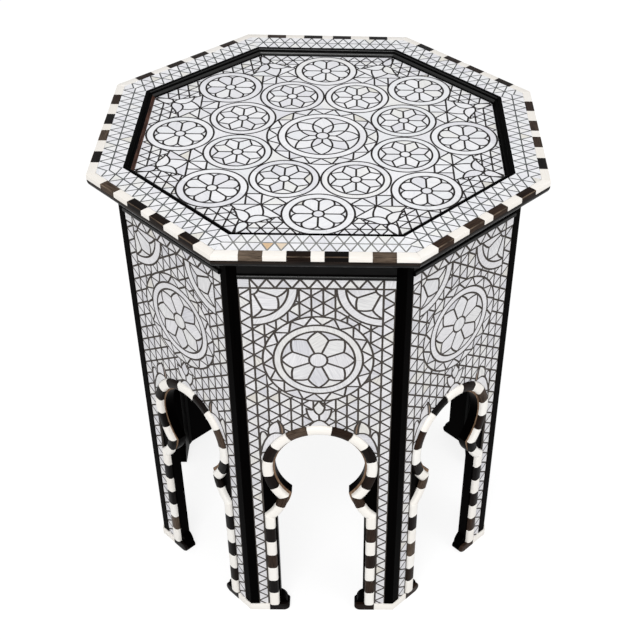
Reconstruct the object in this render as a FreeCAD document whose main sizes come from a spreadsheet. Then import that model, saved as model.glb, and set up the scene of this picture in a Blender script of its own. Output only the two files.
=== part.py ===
"""Octagonal inlaid side table: a tray top on eight arched sides set between corner posts.

Every piece is drawn once, for the side that faces -Y or the corner that points to -Y, and is then
turned about +Z by eighths of a circle. Lengths are millimetres, the floor is z = 0, and the origin
is the middle of the footprint. An apothem is the distance from the table's axis to a flat side.
"""

import FreeCAD, Part
import math
import os
from collections import namedtuple

import Sketcher

SIDES = 8
EIGHTH_TURN = 360.0 / SIDES
CORNER_ANGLE = EIGHTH_TURN / 2

# Driving dimensions: name, millimetres, what it measures.
SIZES = [
    ("total_height", 580.0, "floor to the rim's top"),
    ("top_width", 496.0, "rim, across flats"),
    ("rim_block_width", 9.9, "rim blocks, measured across the rim"),
    ("rim_block_height", 6.0, "rim blocks, height"),
    ("rim_middle_block", 13.7, "length of the narrow bone block at the middle of each side"),
    ("rim_bevel", 3.0, "eased outer edge of the rim blocks"),
    ("border_width", 28.9, "shell border between the rim and the recess"),
    ("recess_depth", 7.0, "rim's top to the tray floor"),
    ("moulding_width", 6.6, "recess moulding, border to tray floor"),
    ("moulding_lip", 2.0, "flat top of the recess moulding"),
    ("moulding_step", 1.5, "upright foot of the recess moulding above the tray floor"),
    ("shell_thickness", 2.0, "shell veneer"),
    ("rail_height", 18.0, "top rails, without their veneer"),
    ("rail_nosing", 1.5, "how far the rim blocks overhang the rails"),
    ("rail_undercut", 8.5, "how far the rails' edge rounds in below the blocks"),
    ("rail_edge_radius", 14.0, "radius of that edge"),
    ("top_board_thickness", 10.0, "board under the tray floor"),
    ("top_tongue_thickness", 5.0, "tongue of the top board in the rails"),
    ("top_tongue_depth", 6.0, "depth of that tongue"),
    ("top_overhang", 27.2, "rim, out from the posts"),
    ("post_face", 9.75, "visible width of a post on each of its two faces"),
    ("board_thickness", 12.0, "side boards"),
    ("board_setback", 4.4, "post face to board face"),
    ("side_tongue_thickness", 4.0, "tongue of a side board in a post"),
    ("side_tongue_depth", 2.0, "depth of that tongue"),
    ("fit_gap", 0.15, "clearance of tongues in their grooves, and of the veneer round the bead"),
    ("cornice_height", 30.0, "cornice under the rails"),
    ("cornice_foot", 0.5, "cornice's lower edge, out from the posts"),
    ("cornice_reach", 10.5, "cornice's upper edge, out from the posts"),
    ("cornice_bead", 6.0, "bead along the cornice's lower edge"),
    ("cornice_bead_radius", 3.3, "roundness of that bead"),
    ("cornice_fillet", 3.0, "upright band along the cornice's upper edge"),
    ("cornice_cove_radius", 32.0, "hollow of the cornice"),
    ("leg_veneer", 14.1, "shell on a leg, from the post to the bead"),
    ("spring_height", 259.0, "centre of the arch"),
    ("haunch_radius", 61.0, "flatter arc from the spring line down to the cusp"),
    ("cusp_drop", 44.0, "spring line down to the cusp's tip"),
    ("cusp_under_radius", 62.0, "rounded underside of the cusp"),
    ("shoulder_height", 180.0, "where the cusp's underside meets the leg"),
    ("edge_lip", 2.2, "bare edge between the opening and the bead"),
    ("bead_width", 12.6, "arch bead"),
    ("bead_rise", 6.0, "crown of the bead, from the board"),
    ("bead_crown", 6.3, "flat along the crown of the bead"),
    ("bead_haunch_radius", 75.0, "bead's centre line, spring line to cusp"),
    ("bead_cusp_drop", 48.0, "spring line down to the bead's corner at the cusp"),
    ("bead_under_radius", 55.0, "bead's centre line under the cusp"),
    ("bead_knee_height", 176.5, "where the bead turns down the leg"),
    ("bead_tip_block", 16.5, "length of the dark block under the cusp"),
    ("leg_block", 24.2, "length of a bead block on the leg"),
    ("plinth_height", 11.0, "strips round the foot"),
    ("plinth_proud", 1.6, "strips, out from the posts"),
    ("shell_foot_gap", 1.0, "side veneer above the floor, behind the strips"),
    ("toe_reach", 10.5, "toe bracket, out from the leg"),
    ("toe_height", 24.0, "toe bracket, height"),
    ("toe_nose_height", 11.0, "round nose of the toe bracket"),
    ("toe_nose_radius", 6.5, "roundness of that nose"),
    ("toe_nose_inset", 2.8, "nose drawn back at the floor and at its top"),
    ("toe_hollow_radius", 16.0, "hollow above the nose"),
    ("glue_block_length", 50.0, "glue block along the side"),
    ("glue_block_depth", 18.0, "glue block, in from the board"),
    ("glue_block_height", 22.0, "glue block, down from the top board"),
]

QUARTER_TURN = 90.0
# Bead blocks round the arch, in degrees: half the block at the crown, the even blocks beside it, and
# how far the block at the spring line reaches above that line.
CROWN_HALF_BLOCK = 13.0
CROWN_BLOCKS = 3
SPRING_BLOCK_RISE = 11.0
# Below the spring line they end at these shares of the way down to the cusp.
HAUNCH_BLOCK_ENDS = (0.23, 0.64)
# How far a bead block is drawn past its mitre before it is cut, and its longest straight length
# on an arc, both in degrees.
MITRE_ALLOWANCE = 14.0
STRAIGHT_LENGTH = 12.0
ACROSS_BOARD = FreeCAD.Vector(0, 1, 0)
LEG_BLOCKS = 6
RIM_BLOCKS_EACH_WAY = 4

doc = FreeCAD.newDocument("OctagonalSideTable")
sheet = doc.addObject("Spreadsheet::Sheet", "Sizes")
for row, (name, millimetres, meaning) in enumerate(SIZES, start=1):
    sheet.set(f"A{row}", meaning)
    sheet.set(f"B{row}", str(millimetres))
    sheet.setAlias(f"B{row}", name)
doc.recompute()


class Dim:
    """A length kept together with the sheet expression that drives it."""

    def __init__(self, text, value):
        self.text = text
        self.value = value

    def joined(self, sign, other, value):
        """This length and another one, with an arithmetic sign between them."""
        return Dim(f"({self.text} {sign} {other.text})", value)

    def __add__(self, other):
        return self.joined("+", as_dim(other), self.value + as_dim(other).value)

    def __sub__(self, other):
        return self.joined("-", as_dim(other), self.value - as_dim(other).value)

    def __mul__(self, other):
        return self.joined("*", as_dim(other), self.value * as_dim(other).value)

    def __truediv__(self, other):
        return self.joined("/", as_dim(other), self.value / as_dim(other).value)

    def __neg__(self):
        return Dim(f"(-{self.text})", -self.value)


def as_dim(number):
    """A plain number as a Dim, and a Dim as it is."""
    if isinstance(number, Dim):
        return number
    return Dim(repr(float(number)), float(number))


def size(alias):
    """The driving dimension of that name."""
    return Dim(f"Sizes.{alias}", float(sheet.get(alias)))


def side_of_triangle(longest, other):
    """Third side of a right-angled triangle."""
    return Dim(
        f"sqrt({longest.text} * {longest.text} - {other.text} * {other.text})",
        math.sqrt(longest.value**2 - other.value**2),
    )


TAN = Dim(f"tan({CORNER_ANGLE} deg)", math.tan(math.radians(CORNER_ANGLE)))
COS = Dim(f"cos({CORNER_ANGLE} deg)", math.cos(math.radians(CORNER_ANGLE)))
SIN = Dim(f"sin({CORNER_ANGLE} deg)", math.sin(math.radians(CORNER_ANGLE)))
ZERO = as_dim(0)

# Apothems, from the rim inwards.
rim_edge = size("top_width") / 2
border_edge = rim_edge - size("rim_block_width")
recess_edge = border_edge - size("border_width")
floor_edge = recess_edge - size("moulding_width")
post_front = rim_edge - size("top_overhang")
board_front = post_front - size("board_setback")
board_back = board_front - size("board_thickness")
plinth_front = post_front + size("plinth_proud")

# Heights, from the rim downwards.
rim_top = size("total_height")
rail_top = rim_top - size("shell_thickness")
block_seat = rim_top - size("rim_block_height")
rail_bottom = rail_top - size("rail_height")
floor_top = rim_top - size("recess_depth")
board_top = floor_top - size("shell_thickness")
board_bottom = board_top - size("top_board_thickness")
cornice_bottom = rail_bottom - size("cornice_height")

# Widths within one side, from its middle.
gap = size("fit_gap")
board_edge = post_front * TAN - size("post_face") - gap
veneer_cut = board_edge - size("leg_veneer")
bead_middle = veneer_cut - gap - size("bead_width") / 2
leg_edge = bead_middle - size("bead_width") / 2 - size("edge_lip")
spring = size("spring_height")

# One stretch of an outline: a line to (x, y), or an arc with its centre on the left or the right.
Step = namedtuple("Step", "x y radius centre_left", defaults=(None, True))


def new_body(label, eighths=0.0):
    """An empty body, turned about +Z by that many eighths of a circle."""
    body = doc.addObject("PartDesign::Body", label)
    body.Label = label
    body.Placement = turned(eighths)
    return body


def turned(eighths):
    """A placement turned about +Z by that many eighths of a circle."""
    turn = FreeCAD.Rotation(FreeCAD.Vector(0, 0, 1), eighths * EIGHTH_TURN)
    return FreeCAD.Placement(FreeCAD.Vector(), turn)


def origin_feature(body, role):
    """An origin plane or axis of the body, such as XY_Plane."""
    return next(item for item in body.Origin.OriginFeatures if item.Role == role)


def new_sketch(body, plane, name, offset=ZERO):
    """A sketch on an origin plane of the body, moved along the plane's normal."""
    sketch = body.newObject("Sketcher::SketchObject", name)
    sketch.AttachmentSupport = (origin_feature(body, plane), [""])
    sketch.MapMode = "FlatFace"
    sketch.setExpression("AttachmentOffset.Base.z", offset.text)
    return sketch


def pin(sketch, kind, geometry, point, dim):
    """Ties one coordinate of a sketch point to its expression."""
    axis = -2 if kind == "DistanceX" else -1
    if dim is ZERO:
        sketch.addConstraint(Sketcher.Constraint("PointOnObject", geometry, point, axis))
    elif dim.value > 0:
        made = sketch.addConstraint(Sketcher.Constraint(kind, -1, 1, geometry, point, dim.value))
        sketch.setExpression(f"Constraints[{made}]", dim.text)
    else:
        made = sketch.addConstraint(Sketcher.Constraint(kind, geometry, point, -1, 1, -dim.value))
        sketch.setExpression(f"Constraints[{made}]", f"-({dim.text})")


def arc_between(start, end, radius, centre_left):
    """The shorter arc from start to end, as Sketcher draws it, counterclockwise."""
    chord = end - start
    to_left = FreeCAD.Vector(-chord.y, chord.x, 0).normalize()
    rise = math.sqrt(radius**2 - (chord.Length / 2) ** 2)
    centre = (start + end) / 2 + to_left * (rise if centre_left else -rise)
    first, last = (start, end) if centre_left else (end, start)
    circle = Part.Circle(centre, FreeCAD.Vector(0, 0, 1), radius)
    angles = [math.atan2(p.y - centre.y, p.x - centre.x) for p in (first, last)]
    return Part.ArcOfCircle(circle, angles[0], angles[1])


def draw_outline(sketch, steps):
    """Draws a closed outline and ties its corners and radii to their expressions."""
    points = [FreeCAD.Vector(step.x.value, step.y.value, 0) for step in steps]
    drawn = []
    for index, step in enumerate(steps):
        start = points[index - 1]
        if step.radius is None:
            made = sketch.addGeometry(Part.LineSegment(start, points[index]), False)
            drawn.append((made, 1, 2))
        else:
            arc = arc_between(start, points[index], step.radius.value, step.centre_left)
            made = sketch.addGeometry(arc, False)
            ends = (1, 2) if step.centre_left else (2, 1)
            drawn.append((made, *ends))
    for index, step in enumerate(steps):
        geometry, _, end = drawn[index]
        following, start, _ = drawn[(index + 1) % len(drawn)]
        sketch.addConstraint(Sketcher.Constraint("Coincident", geometry, end, following, start))
        pin(sketch, "DistanceX", geometry, end, step.x)
        pin(sketch, "DistanceY", geometry, end, step.y)
        if step.radius is not None:
            made = sketch.addConstraint(Sketcher.Constraint("Radius", geometry, step.radius.value))
            sketch.setExpression(f"Constraints[{made}]", step.radius.text)


def pad(body, sketch, length, both_ways=False):
    """Raises a sketch along its normal, or half the length each way."""
    feature = body.newObject("PartDesign::Pad", f"{sketch.Name}Pad")
    feature.Profile = sketch
    feature.SideType = "Symmetric" if both_ways else "One side"
    feature.setExpression("Length", length.text)
    return feature


def pocket_through(body, sketch):
    """Cuts a sketch right through the body, both ways."""
    feature = body.newObject("PartDesign::Pocket", f"{sketch.Name}Pocket")
    feature.Profile = sketch
    feature.Type = "ThroughAll"
    feature.SideType = "Symmetric"
    return feature


def moulding(label, eighths, section):
    """A length of moulding along one side, mitred at both ends on the planes to its neighbours."""
    body = new_body(label, eighths)
    profile = new_sketch(body, "YZ_Plane", f"{label}_section")
    draw_outline(profile, section)
    pad(body, profile, size("top_width"), both_ways=True)
    mitre = new_sketch(body, "XY_Plane", f"{label}_mitre")
    inner = size("top_width") / 4
    outer = size("top_width")
    draw_outline(
        mitre,
        [
            Step(inner * TAN, -inner),
            Step(outer * TAN, -outer),
            Step(outer, -outer),
            Step(outer, -inner),
        ],
    )
    draw_outline(
        mitre,
        [
            Step(-(inner * TAN), -inner),
            Step(-outer, -inner),
            Step(-outer, -outer),
            Step(-(outer * TAN), -outer),
        ],
    )
    pocket_through(body, mitre)
    return body


def section_step(apothem, height, radius=None, centre_left=True):
    """A corner of a moulding's section, given by apothem and height."""
    return Step(-apothem, height, radius, centre_left)


def top_rail(number):
    """Rail of the tray frame: grooved for the top board and rebated for the rim blocks."""
    tongue_middle = (board_top + board_bottom) / 2
    half_groove = size("top_tongue_thickness") / 2 + gap
    groove_end = recess_edge + size("top_tongue_depth") + gap
    nose = rim_edge - size("rail_nosing")
    section = [
        section_step(recess_edge, rail_bottom),
        section_step(recess_edge, tongue_middle - half_groove),
        section_step(groove_end, tongue_middle - half_groove),
        section_step(groove_end, tongue_middle + half_groove),
        section_step(recess_edge, tongue_middle + half_groove),
        section_step(recess_edge, rail_top),
        section_step(border_edge, rail_top),
        section_step(border_edge, block_seat),
        section_step(nose, block_seat),
        section_step(nose - size("rail_undercut"), rail_bottom, size("rail_edge_radius")),
    ]
    return moulding(f"top_rail_{number + 1}", number, section)


def cornice(number):
    """Cornice: a bead, a hollow and an upright band, planted on the posts under the rails."""
    foot = post_front + size("cornice_foot")
    reach = post_front + size("cornice_reach")
    bead_top = cornice_bottom + size("cornice_bead")
    hollow_top = rail_bottom - size("cornice_fillet")
    section = [
        section_step(post_front, cornice_bottom),
        section_step(post_front, rail_bottom),
        section_step(reach, rail_bottom),
        section_step(reach, hollow_top),
        section_step(foot, bead_top, size("cornice_cove_radius"), False),
        section_step(foot, cornice_bottom, size("cornice_bead_radius")),
    ]
    return moulding(f"cornice_{number + 1}", number, section)


def border_strip():
    """Shell veneer of the border over one rail."""
    section = [
        section_step(recess_edge, rail_top),
        section_step(recess_edge, rim_top),
        section_step(border_edge, rim_top),
        section_step(border_edge, rail_top),
    ]
    return moulding("border_strip", 0, section)


def recess_strip():
    """Sloped moulding between the border and the tray floor, seated on the top board."""
    section = [
        section_step(floor_edge, board_top),
        section_step(floor_edge, floor_top + size("moulding_step")),
        section_step(recess_edge - size("moulding_lip"), rim_top),
        section_step(recess_edge, rim_top),
        section_step(recess_edge, board_top),
    ]
    return moulding("recess_strip", 0, section)


def octagon(apothem):
    """Corners of an octagon with a flat side towards -Y."""
    half_side = apothem * TAN
    return [
        Step(-half_side, -apothem),
        Step(half_side, -apothem),
        Step(apothem, -half_side),
        Step(apothem, half_side),
        Step(half_side, apothem),
        Step(-half_side, apothem),
        Step(-apothem, half_side),
        Step(-apothem, -half_side),
    ]


def octagon_pad(body, name, apothem, bottom, thickness):
    """An eight-sided plate in the body."""
    sketch = new_sketch(body, "XY_Plane", name, bottom)
    draw_outline(sketch, octagon(apothem))
    return pad(body, sketch, thickness)


def top_board():
    """Board under the tray floor, tongued into the rails."""
    body = new_body("top_board")
    octagon_pad(body, "plate", recess_edge - gap, board_bottom, size("top_board_thickness"))
    tongue_bottom = (board_top + board_bottom) / 2 - size("top_tongue_thickness") / 2
    tongue_edge = recess_edge + size("top_tongue_depth")
    octagon_pad(body, "tongue", tongue_edge, tongue_bottom, size("top_tongue_thickness"))
    return body


def top_shell_field():
    """Shell veneer of the tray floor."""
    body = new_body("top_shell_field")
    octagon_pad(body, "veneer", floor_edge, board_top, size("shell_thickness"))
    return body


def corner_post(number):
    """Post with two faces that meet in a crease, and a groove in each flank for a side board."""
    body = new_body(f"corner_post_{number + 1}", number + 0.5)
    section = new_sketch(body, "XY_Plane", f"post_{number + 1}_section")
    crease = post_front / COS
    groove_front = size("board_setback") + (size("board_thickness") - size("side_tongue_thickness")) / 2
    groove_back = groove_front + size("side_tongue_thickness")
    groove_end = size("post_face") - size("side_tongue_depth") - gap
    flank = [
        (size("post_face"), ZERO),
        (size("post_face"), groove_front - gap),
        (groove_end, groove_front - gap),
        (groove_end, groove_back + gap),
        (size("post_face"), groove_back + gap),
        (size("post_face"), size("board_setback") + size("board_thickness")),
    ]
    right = [(along * COS - deep * SIN, along * SIN + deep * COS - crease) for along, deep in flank]
    left = [(-across, back) for across, back in reversed(right)]
    corners = [(ZERO, -crease)] + right + left
    draw_outline(section, [Step(x, y) for x, y in corners])
    pad(body, section, rail_bottom)
    return body


def side_board(number):
    """Side board: a cusped horseshoe arch between two legs, tongued into the posts."""
    label = f"side_board_{number + 1}"
    body = new_body(label, number)
    front = new_sketch(body, "XZ_Plane", f"{label}_front", board_back)
    cusp_height = spring - size("cusp_drop")
    haunch = size("haunch_radius")
    cusp = leg_edge - haunch + side_of_triangle(haunch, size("cusp_drop"))
    under = size("cusp_under_radius")
    shoulder = size("shoulder_height")
    draw_outline(
        front,
        [
            Step(-board_edge, ZERO),
            Step(-leg_edge, ZERO),
            Step(-leg_edge, shoulder),
            Step(-cusp, cusp_height, under, True),
            Step(-leg_edge, spring, haunch, False),
            Step(ZERO, spring + leg_edge, leg_edge, False),
            Step(leg_edge, spring, leg_edge, False),
            Step(cusp, cusp_height, haunch, False),
            Step(leg_edge, shoulder, under, True),
            Step(leg_edge, ZERO),
            Step(board_edge, ZERO),
            Step(board_edge, rail_bottom),
            Step(-board_edge, rail_bottom),
        ],
    )
    pad(body, front, size("board_thickness"))
    tongues = new_sketch(body, "XY_Plane", f"{label}_tongues")
    tongue_end = board_edge + gap + size("side_tongue_depth")
    tongue_front = board_front - (size("board_thickness") - size("side_tongue_thickness")) / 2
    tongue_back = tongue_front - size("side_tongue_thickness")
    for near, far in ((board_edge, tongue_end), (-tongue_end, -board_edge)):
        draw_outline(
            tongues,
            [
                Step(near, -tongue_front),
                Step(far, -tongue_front),
                Step(far, -tongue_back),
                Step(near, -tongue_back),
            ],
        )
    pad(body, tongues, rail_bottom)
    return body


def side_shell(number):
    """Shell veneer of one side, cut as a plain stilted arch round the bead."""
    label = f"side_shell_{number + 1}"
    body = new_body(label, number)
    front = new_sketch(body, "XZ_Plane", f"{label}_front", board_front)
    foot = size("shell_foot_gap")
    draw_outline(
        front,
        [
            Step(-board_edge, foot),
            Step(-veneer_cut, foot),
            Step(-veneer_cut, spring),
            Step(ZERO, spring + veneer_cut, veneer_cut, False),
            Step(veneer_cut, spring, veneer_cut, False),
            Step(veneer_cut, foot),
            Step(board_edge, foot),
            Step(board_edge, cornice_bottom),
            Step(-board_edge, cornice_bottom),
        ],
    )
    pad(body, front, size("shell_thickness"))
    return body


def toe():
    """Toe bracket on a leg's edge: a round nose under a hollow."""
    body = new_body("toe")
    front = new_sketch(body, "XZ_Plane", "toe_front", board_back)
    nose = leg_edge - size("toe_reach") + size("toe_nose_inset")
    draw_outline(
        front,
        [
            Step(leg_edge, ZERO),
            Step(leg_edge, size("toe_height")),
            Step(nose, size("toe_nose_height"), size("toe_hollow_radius"), False),
            Step(nose, ZERO, size("toe_nose_radius"), True),
        ],
    )
    pad(body, front, size("board_thickness"))
    return body


def bone_strip():
    """Bone strip at the foot, from the bead to the mitre at the corner."""
    body = new_body("bone_strip")
    plan = new_sketch(body, "XY_Plane", "bone_strip_plan")
    veneer_face = board_front + size("shell_thickness")
    draw_outline(
        plan,
        [
            Step(veneer_cut, -veneer_face),
            Step(veneer_cut, -plinth_front),
            Step(plinth_front * TAN, -plinth_front),
            Step(post_front * TAN, -post_front),
            Step(board_edge, -post_front),
            Step(board_edge, -veneer_face),
        ],
    )
    pad(body, plan, size("plinth_height"))
    return body


def ebony_end():
    """Dark end of the strip at the foot, under the bead and over the toe."""
    body = new_body("ebony_end")
    plan = new_sketch(body, "XY_Plane", "ebony_end_plan")
    end = leg_edge - size("toe_reach") + size("toe_nose_inset")
    draw_outline(
        plan,
        [
            Step(end, -board_front),
            Step(end, -plinth_front),
            Step(veneer_cut, -plinth_front),
            Step(veneer_cut, -board_front),
        ],
    )
    pad(body, plan, size("plinth_height"))
    return body


def glue_block():
    """Glue block in the angle between a side board and the top board."""
    body = new_body("glue_block")
    plan = new_sketch(body, "XY_Plane", "glue_block_plan", board_bottom - size("glue_block_height"))
    half = size("glue_block_length") / 2
    inner = board_back - size("glue_block_depth")
    draw_outline(
        plan,
        [
            Step(-half, -board_back),
            Step(half, -board_back),
            Step(half, -inner),
            Step(-half, -inner),
        ],
    )
    pad(body, plan, size("glue_block_height"))
    return body


def bead_section(across):
    """Half-round section of the arch bead in three flats, on the board at that distance from u = 0."""
    half = size("bead_width").value / 2
    half_crown = size("bead_crown").value / 2
    face = board_front.value
    crown = face + size("bead_rise").value
    outline = [(-half, face), (-half_crown, crown), (half_crown, crown), (half, face), (-half, face)]
    return Part.makePolygon([FreeCAD.Vector(across + u, -out, 0) for u, out in outline])


def arc_sections(centre, radius, first, last):
    """Bead sections along an arc, between two angles counted from straight up towards +u."""
    lengths = math.ceil((last - first) / STRAIGHT_LENGTH)
    sections = []
    for index in range(lengths + 1):
        section = bead_section(radius)
        angle = first + (last - first) * index / lengths
        section.rotate(FreeCAD.Vector(), ACROSS_BOARD, angle - QUARTER_TURN)
        section.translate(FreeCAD.Vector(centre.x, 0, centre.y))
        sections.append(section)
    return sections


def lofted(sections):
    """Solid bead block in straight lengths from section to section."""
    return Part.makeLoft(sections, True, True)


def arc_block(centre, radius, first, last):
    """Bead block along an arc, between two angles counted from straight up towards +u."""
    return lofted(arc_sections(centre, radius, first, last))


def leg_block(bottom, top):
    """Straight bead block on the right leg."""
    block = Part.Face(bead_section(bead_middle.value)).extrude(FreeCAD.Vector(0, 0, top - bottom))
    block.translate(FreeCAD.Vector(0, 0, bottom))
    return block


def below_mitre(corner, arriving, leaving):
    """Everything below the mitre between two stretches of bead that meet at a corner."""
    along = (arriving + leaving).normalize()
    tilt = math.degrees(math.atan2(-along.x, -along.y))
    reach = size("top_width").value
    box = Part.makeBox(2 * reach, 2 * reach, reach, FreeCAD.Vector(-reach, -2 * reach, -reach))
    box.rotate(FreeCAD.Vector(), ACROSS_BOARD, tilt)
    box.translate(FreeCAD.Vector(corner.x, 0, corner.y))
    return box


def on_arc(centre, point):
    """Angle of a point on an arc, counted from straight up towards +u."""
    return math.degrees(math.atan2(point.x - centre.x, point.y - centre.y))


def clockwise(angle):
    """Direction of travel at that angle of an arc, with the angle growing."""
    return FreeCAD.Vector(math.cos(math.radians(angle)), -math.sin(math.radians(angle)), 0)


def bead_blocks():
    """Bone blocks and dark blocks of one side's arch bead, as two lists of solids."""
    radius = bead_middle.value
    haunch_radius = size("bead_haunch_radius").value
    under_radius = size("bead_under_radius").value
    drop = size("bead_cusp_drop").value
    crown = FreeCAD.Vector(0, spring.value, 0)
    haunch = FreeCAD.Vector(radius - haunch_radius, spring.value, 0)
    cusp_sweep = math.degrees(math.asin(drop / haunch_radius))
    cusp_reach = math.sqrt(haunch_radius**2 - drop**2)
    cusp = haunch + FreeCAD.Vector(cusp_reach, -drop, 0)
    knee = FreeCAD.Vector(radius, size("bead_knee_height").value, 0)
    under = arc_between(cusp, knee, under_radius, True).Center
    at_cusp = on_arc(under, cusp)
    at_knee = on_arc(under, knee)
    tip_end = at_cusp - math.degrees(size("bead_tip_block").value / under_radius)

    cusp_mitre = below_mitre(cusp, clockwise(QUARTER_TURN + cusp_sweep), -clockwise(at_cusp))
    knee_mitre = below_mitre(knee, -clockwise(at_knee), FreeCAD.Vector(0, -1, 0))
    haunch_ends = [QUARTER_TURN + share * cusp_sweep for share in HAUNCH_BLOCK_ENDS]

    crown_block = arc_block(crown, radius, -CROWN_HALF_BLOCK, CROWN_HALF_BLOCK)
    crown_end = QUARTER_TURN - SPRING_BLOCK_RISE
    crown_step = (crown_end - CROWN_HALF_BLOCK) / CROWN_BLOCKS
    crown_ends = [CROWN_HALF_BLOCK + crown_step * index for index in range(CROWN_BLOCKS + 1)]
    crown_arcs = [arc_block(crown, radius, *ends) for ends in zip(crown_ends, crown_ends[1:])]
    spring_block = lofted(
        arc_sections(crown, radius, crown_end, QUARTER_TURN)
        + arc_sections(haunch, haunch_radius, QUARTER_TURN, haunch_ends[0])[1:]
    )
    haunch_block = arc_block(haunch, haunch_radius, haunch_ends[0], haunch_ends[1])
    cusp_end = QUARTER_TURN + cusp_sweep + MITRE_ALLOWANCE
    cusp_block = arc_block(haunch, haunch_radius, haunch_ends[1], cusp_end).cut(cusp_mitre)
    tip = arc_block(under, under_radius, tip_end, at_cusp + MITRE_ALLOWANCE).common(cusp_mitre)
    leg_bottom = size("plinth_height").value
    step = size("leg_block").value
    leg_ends = [leg_bottom + step * index for index in range(LEG_BLOCKS + 1)]
    leg_top = knee.y + size("bead_width").value
    knee_blocks = [
        arc_block(under, under_radius, at_knee - MITRE_ALLOWANCE, tip_end).cut(knee_mitre),
        leg_block(leg_ends[-1], leg_top).common(knee_mitre),
    ]
    legs = [leg_block(bottom, top) for bottom, top in zip(leg_ends, leg_ends[1:])]

    bone = [crown_arcs[1], spring_block, cusp_block] + knee_blocks + legs[0::2]
    dark = [crown_arcs[0], crown_arcs[2], haunch_block, tip] + legs[1::2]
    return [crown_block] + both_hands(bone), both_hands(dark)


def both_hands(solids):
    """The solids of a side's right half, and their mirror images on its left half."""
    mirrored = [solid.mirror(FreeCAD.Vector(), FreeCAD.Vector(1, 0, 0)) for solid in solids]
    return [one for shape in solids + mirrored for one in shape.Solids]


def rim_block(first, last):
    """Rim block along one side, eased at its outer upper edge."""
    inner, outer = -border_edge.value, -rim_edge.value
    low, high = block_seat.value, rim_top.value
    bevel = size("rim_bevel").value
    corners = [
        FreeCAD.Vector(first, inner, low),
        FreeCAD.Vector(first, outer, low),
        FreeCAD.Vector(first, outer, high - bevel),
        FreeCAD.Vector(first, outer + bevel, high),
        FreeCAD.Vector(first, inner, high),
        FreeCAD.Vector(first, inner, low),
    ]
    section = Part.Face(Part.makePolygon(corners))
    return section.extrude(FreeCAD.Vector(last - first, 0, 0))


def rim_blocks():
    """Bone blocks and dark blocks of one side of the rim, as two lists of solids."""
    half_middle = size("rim_middle_block").value / 2
    half_side = ((border_edge + rim_edge) / 2 * TAN).value
    step = (half_side - half_middle) / RIM_BLOCKS_EACH_WAY
    ends = [half_middle + step * index for index in range(RIM_BLOCKS_EACH_WAY)]
    straight = [rim_block(first, last) for first, last in zip(ends, ends[1:])]
    corner = rim_block(ends[-1], rim_edge.value)
    reach = size("top_width").value
    beyond = Part.makeBox(reach, reach, 2 * reach, FreeCAD.Vector(0, -reach, 0))
    beyond.rotate(FreeCAD.Vector(), FreeCAD.Vector(0, 0, 1), CORNER_ANGLE)
    corner = corner.cut(beyond)
    bone = [rim_block(-half_middle, half_middle)] + both_hands([straight[1], corner])
    return bone, both_hands([straight[0], straight[2]])


def ring(label, solids):
    """A sub-part of separate solids, repeated round the table's eight sides."""
    copies = []
    for eighths in range(SIDES):
        for solid in solids:
            copy = solid.copy()
            copy.rotate(FreeCAD.Vector(), FreeCAD.Vector(0, 0, 1), eighths * EIGHTH_TURN)
            copies.append(copy)
    feature = doc.addObject("Part::Feature", label)
    feature.Label = label
    feature.Shape = Part.makeCompound(copies)
    return feature


def check_objects():
    """Stops if any object of the document failed to build."""
    for item in doc.Objects:
        if "Invalid" in item.State or "Error" in item.State:
            raise RuntimeError(f"{item.Label} failed: {item.State}")


def check_shape(item):
    """Stops if a sub-part has no valid solid."""
    if item.Shape.isNull() or not item.Shape.isValid() or not item.Shape.Solids:
        raise RuntimeError(f"{item.Label} has no valid shape")


def build():
    """Builds every sub-part and returns the list of them."""
    makers = (top_rail, cornice, corner_post, side_board, side_shell)
    sub_parts = [top_board(), top_shell_field()]
    sub_parts += [maker(number) for maker in makers for number in range(SIDES)]
    border, recess = border_strip(), recess_strip()
    toe_pattern, bone_pattern, ebony_pattern = toe(), bone_strip(), ebony_end()
    block_pattern = glue_block()
    doc.recompute()
    check_objects()

    rim_bone, rim_dark = rim_blocks()
    arch_bone, arch_dark = bead_blocks()
    sub_parts += [
        ring("border_shell_strips", [border.Shape]),
        ring("recess_moulding", [recess.Shape]),
        ring("rim_bone_blocks", rim_bone),
        ring("rim_ebony_blocks", rim_dark),
        ring("arch_bone_blocks", arch_bone),
        ring("arch_ebony_blocks", arch_dark),
        ring("plinth_bone_strips", both_hands([bone_pattern.Shape])),
        ring("plinth_ebony_ends", both_hands([ebony_pattern.Shape])),
        ring("toe_brackets", both_hands([toe_pattern.Shape])),
        ring("glue_blocks", [block_pattern.Shape]),
    ]
    doc.recompute()
    check_objects()
    return sub_parts


def export(sub_parts):
    """Writes each sub-part to a file named after it."""
    for item in sub_parts:
        check_shape(item)
    os.makedirs("parts", exist_ok=True)
    for item in sub_parts:
        item.Shape.exportStep(f"parts/{item.Label}.step")
        print(f"{item.Label}: {len(item.Shape.Solids)} solids, {item.Shape.Volume / 1000:.1f} cm3")


export(build())
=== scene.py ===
"""Octagonal inlaid side table: shell mosaics, bone and dark bead blocks, and black polished joinery.

Everything is modelled in millimetres, the floor being z = 0 and the table's axis the Z axis. A piece
that repeats is made for the side that faces -Y and turned about the axis. An apothem is the distance
from the axis to a flat side.
"""

import logging
import math
import random
from dataclasses import dataclass
from enum import Enum, IntEnum
from typing import Iterable, Sequence

import bmesh
import bpy
import numpy as np
from mathutils import Matrix, Vector, geometry


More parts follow.
